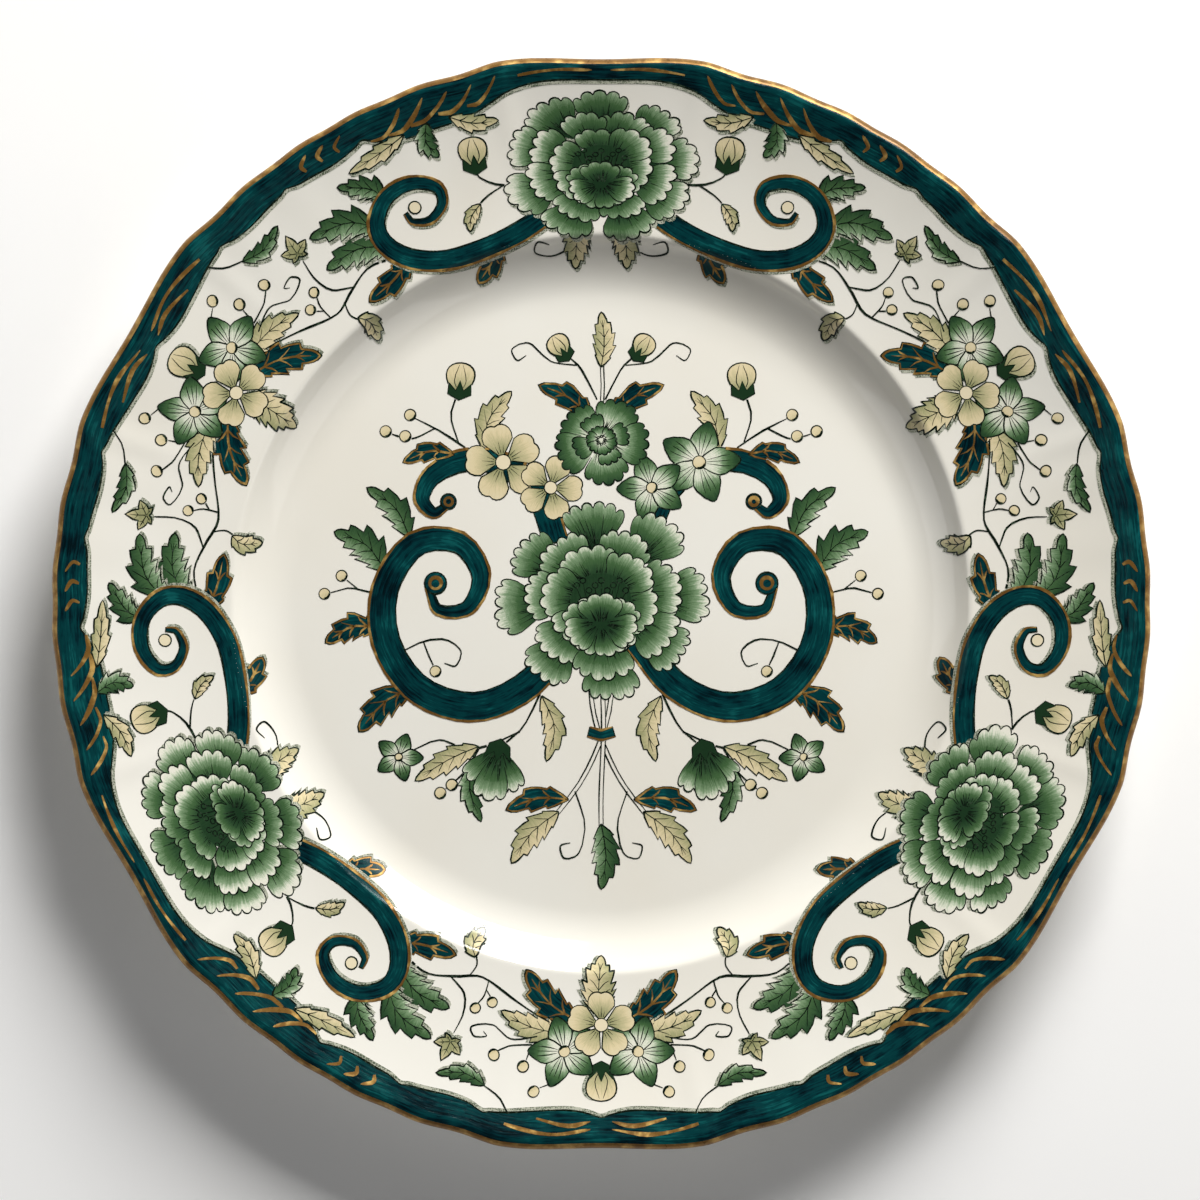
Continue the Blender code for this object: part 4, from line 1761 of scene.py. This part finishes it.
@dataclass(frozen=True)
class GradedWash:
    """A printed wash that runs from dark at a shape's base to pale at its edge.

    The dark end is broken into hatched strokes, as an engraved plate prints it.
    """

    name: str
    stops: Stops
    hatch: float = 0.16
    spread: float = 0.08
    inner: float = 1.0

    def build(self) -> Material:
        """Build the material."""
        tree = SurfaceTree(self.name)
        flow = tree.add("ShaderNodeSeparateXYZ", {0: tree.wash_map()})
        along = {0: tree.times(flow.outputs[0], 1.9), 1: tree.times(flow.outputs[1], 1.2)}
        hatch = tree.noise(tree.out("ShaderNodeCombineXYZ", along), 1.6, 1.5)
        cloud = tree.noise(tree.spot, 260.0, 2.0)
        level = tree.times(tree.math("ABSOLUTE", flow.outputs[1]), self.inner)
        level = tree.math("MULTIPLY_ADD", tree.math("SUBTRACT", hatch, 0.5), self.hatch * 2.0, level)
        level = tree.math("MULTIPLY_ADD", tree.math("SUBTRACT", cloud, 0.5), self.spread * 2.0, level)
        grain = tree.noise(tree.spot, 2400.0, 1.0)
        level = tree.math("MULTIPLY_ADD", tree.math("SUBTRACT", grain, 0.5), 0.12, level)
        ridge = tree.bump(cloud, 0.00002)
        return tree.dress({"Base Color": tree.ramp(level, self.stops), "Normal": ridge,
                           "Roughness": tree.sheen(grain, 0.08, 0.16), "Specular IOR Level": 0.4})


@dataclass(frozen=True)
class Stipple:
    """The shadow tone: fine dots of grey-green under the glaze."""

    dots: Colour = (0.085, 0.11, 0.07)
    ground: Colour = (0.46, 0.47, 0.38)

    def build(self) -> Material:
        """Build the material."""
        tree = SurfaceTree("stippled_tone")
        cells = tree.add("ShaderNodeTexVoronoi", {"Vector": tree.spot, "Scale": 2600.0, "Randomness": 0.45})
        cloud = tree.noise(tree.spot, 300.0, 2.0)
        size = tree.sheen(cloud, 0.36, 0.56)
        dot = tree.between(tree.math("SUBTRACT", cells.outputs["Distance"], size), -0.12, 0.1, 1.0, 0.0)
        return tree.dress({"Base Color": tree.blend(dot, self.ground, self.dots),
                           "Roughness": tree.sheen(cloud, 0.09, 0.15),
                           "Normal": tree.bump(cloud, 0.00002), "Specular IOR Level": 0.4})


@dataclass(frozen=True)
class Ink:
    """Engraver's ink: green-black, a little broken where the transfer didn't take."""

    body: Colour = (0.0045, 0.010, 0.0055)
    faint: Colour = (0.045, 0.075, 0.045)

    def build(self) -> Material:
        """Build the material."""
        tree = SurfaceTree("printed_ink")
        take = tree.noise(tree.spot, 900.0, 3.0, 0.65)
        return tree.dress({"Base Color": tree.blend(tree.between(take, 0.5, 0.72), self.body, self.faint),
                           "Roughness": tree.sheen(take, 0.12, 0.22),
                           "Normal": tree.bump(take, 0.00001), "Specular IOR Level": 0.4})


@dataclass(frozen=True)
class Gilding:
    """Bronze-toned gold brushed on by hand, rubbed brown where it has worn, its paler patches partly uneven
    gold and partly painted glints.
    """

    name: str
    body: Colour = (0.245, 0.124, 0.027)
    # paler gold: partly uneven gilding, partly painted glints standing in for reflected light
    pale_gold_and_glint: Colour = (0.66, 0.43, 0.13)
    worn: Colour = (0.105, 0.05, 0.014)
    metal: float = 0.45

    def build(self) -> Material:
        """Build the material."""
        tree = SurfaceTree(self.name)
        brush = tree.noise(tree.spot, 300.0, 3.0, 0.55)
        rub = tree.noise(tree.spot, 60.0, 3.0)
        # paler patches of gold by brush noise: partly uneven gilding, partly painted glints
        colour = tree.blend(tree.between(brush, 0.46, 0.74), self.body, self.pale_gold_and_glint)
        rub = tree.math("MULTIPLY_ADD", rub, 0.6, tree.times(brush, 0.4))
        wear = tree.between(rub, 0.36, 0.52, 0.6, 0.0)
        return tree.dress({"Base Color": tree.blend(wear, colour, self.worn),
                           "Metallic": tree.between(wear, 0.0, 1.0, self.metal, self.metal * 0.4),
                           "Roughness": tree.sheen(brush, 0.26, 0.46),
                           "Normal": tree.bump(brush, 0.00002), "Specular IOR Level": 0.3})


GREEN_STOPS = ((0.0, (0.011, 0.034, 0.014)), (0.3, (0.024, 0.063, 0.026)), (0.57, (0.056, 0.123, 0.047)),
               (0.79, (0.20, 0.305, 0.17)), (0.93, (0.60, 0.655, 0.51)), (1.0, (0.78, 0.765, 0.66)))
YELLOW_STOPS = ((0.0, (0.20, 0.215, 0.095)), (0.3, (0.40, 0.385, 0.205)), (0.62, (0.69, 0.59, 0.36)),
                (1.0, (0.765, 0.68, 0.475)))


@dataclass(frozen=True)
class Lamp:
    """A soft square light: its direction in degrees, then metres off, side, watts and colour."""

    name: str
    azimuth: float
    elevation: float
    distance: float
    size: float
    power: float
    colour: Colour = (1.0, 1.0, 1.0)

    def add(self) -> None:
        """Add the lamp, facing the plate."""
        data = bpy.data.lights.new(self.name, "AREA")
        data.size = self.size
        data.energy = self.power
        data.color = self.colour
        lamp = stand(self.name, data)
        turn, rise = math.radians(self.azimuth), math.radians(self.elevation)
        flat = math.cos(rise) * self.distance
        lamp.location = (flat * math.cos(turn), flat * math.sin(turn), self.distance * math.sin(rise))
        lamp.rotation_euler = lamp.location.to_track_quat("Z", "Y").to_euler()


@dataclass(frozen=True)
class Stage:
    """Plain pale floor, soft light and the camera straight above."""

    floor_size: float = 2.8
    floor_drop: float = 0.0004
    width_seen: float = 0.2916
    distance: float = 1.25
    aim: tuple[float, float, float] = (-0.0003, 0.00087, 0.018)
    sensor: float = 36.0
    clip: Pair = (0.05, 40.0)
    lamps: tuple[Lamp, ...] = (Lamp("window", 68.0, 32.0, 1.6, 0.75, 41.5, (1.0, 0.985, 0.96)),
                               Lamp("fill_left", 195.0, 36.0, 2.4, 1.6, 6.5),
                               Lamp("fill_right", 320.0, 36.0, 2.4, 1.6, 6.5))
    sky_power: float = 0.15
    horizon_power: float = 0.62

    def floor(self) -> Piece:
        """Pale floor under the foot."""
        half = self.floor_size / 2
        mesh = bpy.data.meshes.new("floor")
        corners = [(-half, -half), (half, -half), (half, half), (-half, half)]
        mesh.from_pydata([(x, y, -self.floor_drop) for x, y in corners], [], [(0, 1, 2, 3)])
        tree = SurfaceTree("pale_floor")
        grain = tree.noise(tree.spot, 30.0, 3.0)
        colour = tree.blend(grain, (0.93, 0.93, 0.93), (0.95, 0.95, 0.945))
        mesh.materials.append(tree.dress({"Base Color": colour, "Roughness": 0.9, "Specular IOR Level": 0.1}))
        return stand("floor", mesh)

    def sky(self) -> None:
        """Soft surroundings: pale near the horizon and dark overhead."""
        world = bpy.data.worlds.new("room")
        world.use_nodes = True
        tree = Tree(world.node_tree)
        tree.group.nodes.clear()
        where = tree.add("ShaderNodeTexCoord").outputs["Generated"]
        up = tree.add("ShaderNodeSeparateXYZ", {0: where}).outputs[2]
        level = tree.between(up, 0.45, 0.85, 1.0, 0.1)
        low = tree.between(up, 0.02, 0.24, self.horizon_power, self.sky_power)
        power = tree.times(level, low)
        back = tree.out("ShaderNodeBackground", {"Color": (1.0, 1.0, 1.0, 1.0), "Strength": power})
        tree.add("ShaderNodeOutputWorld", {"Surface": back})
        bpy.context.scene.world = world

    def camera(self) -> None:
        """Camera straight above, with the top of the pattern upwards."""
        data = bpy.data.cameras.new("camera")
        data.sensor_width = self.sensor
        data.lens = self.sensor * self.distance / self.width_seen
        data.clip_start, data.clip_end = self.clip
        camera = stand("camera", data)
        camera.location = (self.aim[0], self.aim[1], self.aim[2] + self.distance)
        bpy.context.scene.camera = camera

    def set_up(self) -> None:
        """Build the whole stage."""
        self.floor()
        self.sky()
        for lamp in self.lamps:
            lamp.add()
        self.camera()
        bpy.context.scene.view_settings.view_transform = "Standard"


# ---- putting it together


def outward(mesh: Mesh) -> None:
    """Turn a closed mesh's faces outwards if they face in."""
    mesh.calc_loop_triangles()
    corners = np.empty(len(mesh.loop_triangles) * 3, int)
    mesh.loop_triangles.foreach_get("vertices", corners)
    spots = np.empty(len(mesh.vertices) * 3)
    mesh.vertices.foreach_get("co", spots)
    a, b, c = spots.reshape(-1, 3)[corners.reshape(-1, 3)].transpose(1, 0, 2)
    if (np.cross(a, b) * c).sum() < 0.0:
        mesh.flip_normals()


@dataclass
class Decorator:
    """Builds the finished pieces, ties each to the plate and hides the CAD nodes that they stand for."""

    form: PlateForm = PlateForm()
    proud: dict[Tone, float] = field(default_factory=lambda: {Tone.PRINT: 0.09, Tone.GILT: 0.12})
    wash_proud: float = 0.065
    sink: float = 0.03
    crease: float = math.radians(40.0)
    gilt_from: float = math.radians(68.0)
    gilt_to: float = math.radians(-24.0)
    gilt_film: float = 0.1

    def __post_init__(self) -> None:
        """Build the node trees and finishes that the pieces share."""
        self.turning = turning_tree(self.form)
        self.laying = {kind: laying_tree(self.form, kind) for kind in (False, True)}
        self.glaze_finish = Glaze().build()
        self.clay_finish = Clay().build()
        # its third colour is paler gold, partly uneven gilding and partly painted glints
        self.edge_finish = Gilding("edge_gilding", (0.24, 0.125, 0.031), (0.53, 0.34, 0.11)).build()
        self.finishes = {
            Tone.SHADE: Stipple().build(),
            Tone.GREEN: GradedWash("green_wash", GREEN_STOPS).build(),
            Tone.YELLOW: GradedWash("yellow_wash", YELLOW_STOPS, 0.22, 0.12, 0.8).build(),
            Tone.ENAMEL: Enamel().build(),
            Tone.GILT: Gilding("scroll_gilding").build(),
            Tone.PRINT: Ink().build(),
        }

    def admit(self, piece: Piece, nodes: Sequence[str] = ()) -> None:
        """Shade a piece, tie it to the plate and hide the CAD nodes that it stands for.

        Args:
            piece: The piece.
            nodes: CAD nodes that it stands for.
        """
        outward(piece.data)
        piece.data.shade_smooth()
        piece.data.set_sharp_from_angle(angle=self.crease)
        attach(piece, "root")
        if nodes:
            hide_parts(*nodes)
        LOG.info("%s: %d triangles", piece.name, sum(len(face.vertices) - 2 for face in piece.data.polygons))

    def turn(self, name: str, profile: Profile, finish: Material) -> Piece:
        """Turn a piece from its profile.

        Args:
            name: Its name.
            profile: Radii and heights in millimetres.
            finish: Its material.

        Returns:
            The piece.
        """
        chain = bpy.data.meshes.new(name + "_profile")
        verts = [(radius * MM, 0.0, height * MM) for radius, height in profile]
        chain.from_pydata(verts, [(i, i + 1) for i in range(len(verts) - 1)], [])
        return self.turning.run(name, chain, {"Profile Points": len(verts), "Stations": self.form.stations,
                                              "Material": finish})

    def ware(self) -> Piece:
        """Build the plate itself and return its glazed body."""
        plate = self.turn("glazed_plate", self.form.glaze_profile(), self.glaze_finish)
        self.admit(plate, ("face_glaze", "base_glaze"))
        foot = self.turn("foot_ring_clay", self.form.foot_profile(), self.clay_finish)
        self.admit(foot, ("ironstone_body",))
        band = self.form.gilding_profile(self.gilt_from, self.gilt_to, self.gilt_film)
        self.admit(self.turn("lip_gilding", band, self.edge_finish), ("gilt_edge",))
        return plate

    def lay(self, name: str, mesh: Mesh, tone: Tone, region: Region, lines: bool,
            glaze: Piece) -> None:
        """Drape flat artwork over the glaze as one piece.

        Args:
            name: The piece's name.
            mesh: The flat artwork.
            tone: What it is made of.
            region: Which part of the pattern it is, with its repeats.
            lines: Whether it is drawn lines.
            glaze: The glazed plate.
        """
        proud = self.proud.get(tone, self.wash_proud)
        piece = self.laying[lines].run(name, mesh, {
            "Glaze": glaze, "Repeats": region.value, "Proud": proud * MM, "Sink": self.sink * MM,
            "Material": self.finishes[tone]})
        stands_for = ("border_enamel",) if (region, tone) == (Region.RIM, Tone.ENAMEL) else ()
        self.admit(piece, stands_for)

    def decorate(self, art: Artwork, region: Region, grid: Points, glaze: Piece) -> None:
        """Lay one region's washes, ink and gold.

        Args:
            art: The region's drawing.
            region: Which part of the pattern it is.
            grid: Points that keep its triangles small.
            glaze: The glazed plate.
        """
        label = region.name.lower()
        for tone, mesh in art.wash_meshes(grid).items():
            self.lay(f"{label}_{tone.value}_washes", mesh, tone, region, False, glaze)
        for tone in (Tone.PRINT, Tone.GILT):
            self.lay(f"{label}_{tone.value}_lines", art.line_mesh(tone), tone, region, True, glaze)


# Zones of the grid under the artwork: first radius, last radius, step between rings, and
# pitch along a ring, in millimetres. It is fine where the glaze bends.
RIM_RINGS = ((80.0, 87.2, 0.9, 1.6), (87.4, 92.4, 0.3, 1.2), (93.0, 128.6, 2.1, 2.2),
             (129.2, 131.9, 0.36, 1.3))
WELL_RINGS = ((3.0, 73.0, 6.0, 6.0), (74.5, 81.0, 0.9, 1.6))


def ring_points(zones: Sequence[Sequence[float]], first: float, last: float) -> Points:
    """Points on rings about the axis.

    Args:
        zones: Zones of rings, as above.
        first: Direction in degrees of the rings' start.
        last: Direction of their end.

    Returns:
        The points.
    """
    rows = []
    for inner, outer, step, pitch in zones:
        for number, radius in enumerate(np.arange(inner, outer, step)):
            count = max(int(abs(last - first) / 360.0 * math.tau * radius / pitch), 4)
            shift = (number % 2) * (last - first) / count / 2
            rows.append(polar(np.linspace(first, last, count, endpoint=False) + shift, radius))
    return np.vstack(rows)


def main() -> None:
    """Build the plate, its pattern and the stage."""
    logging.basicConfig(level=logging.INFO, format="%(name)s: %(message)s")
    Stage().set_up()
    shop = Decorator()
    plate = shop.ware()
    rim = RimSpray()
    ends = (rim.heading - rim.first + 3.0, rim.heading - rim.last - 3.0)
    shop.decorate(rim.draw(), Region.RIM, ring_points(RIM_RINGS, *ends), plate)
    shop.decorate(CentreSpray().draw(), Region.CENTRE, ring_points(WELL_RINGS, 0.0, 360.0), plate)


if __name__ == "__main__":
    main()
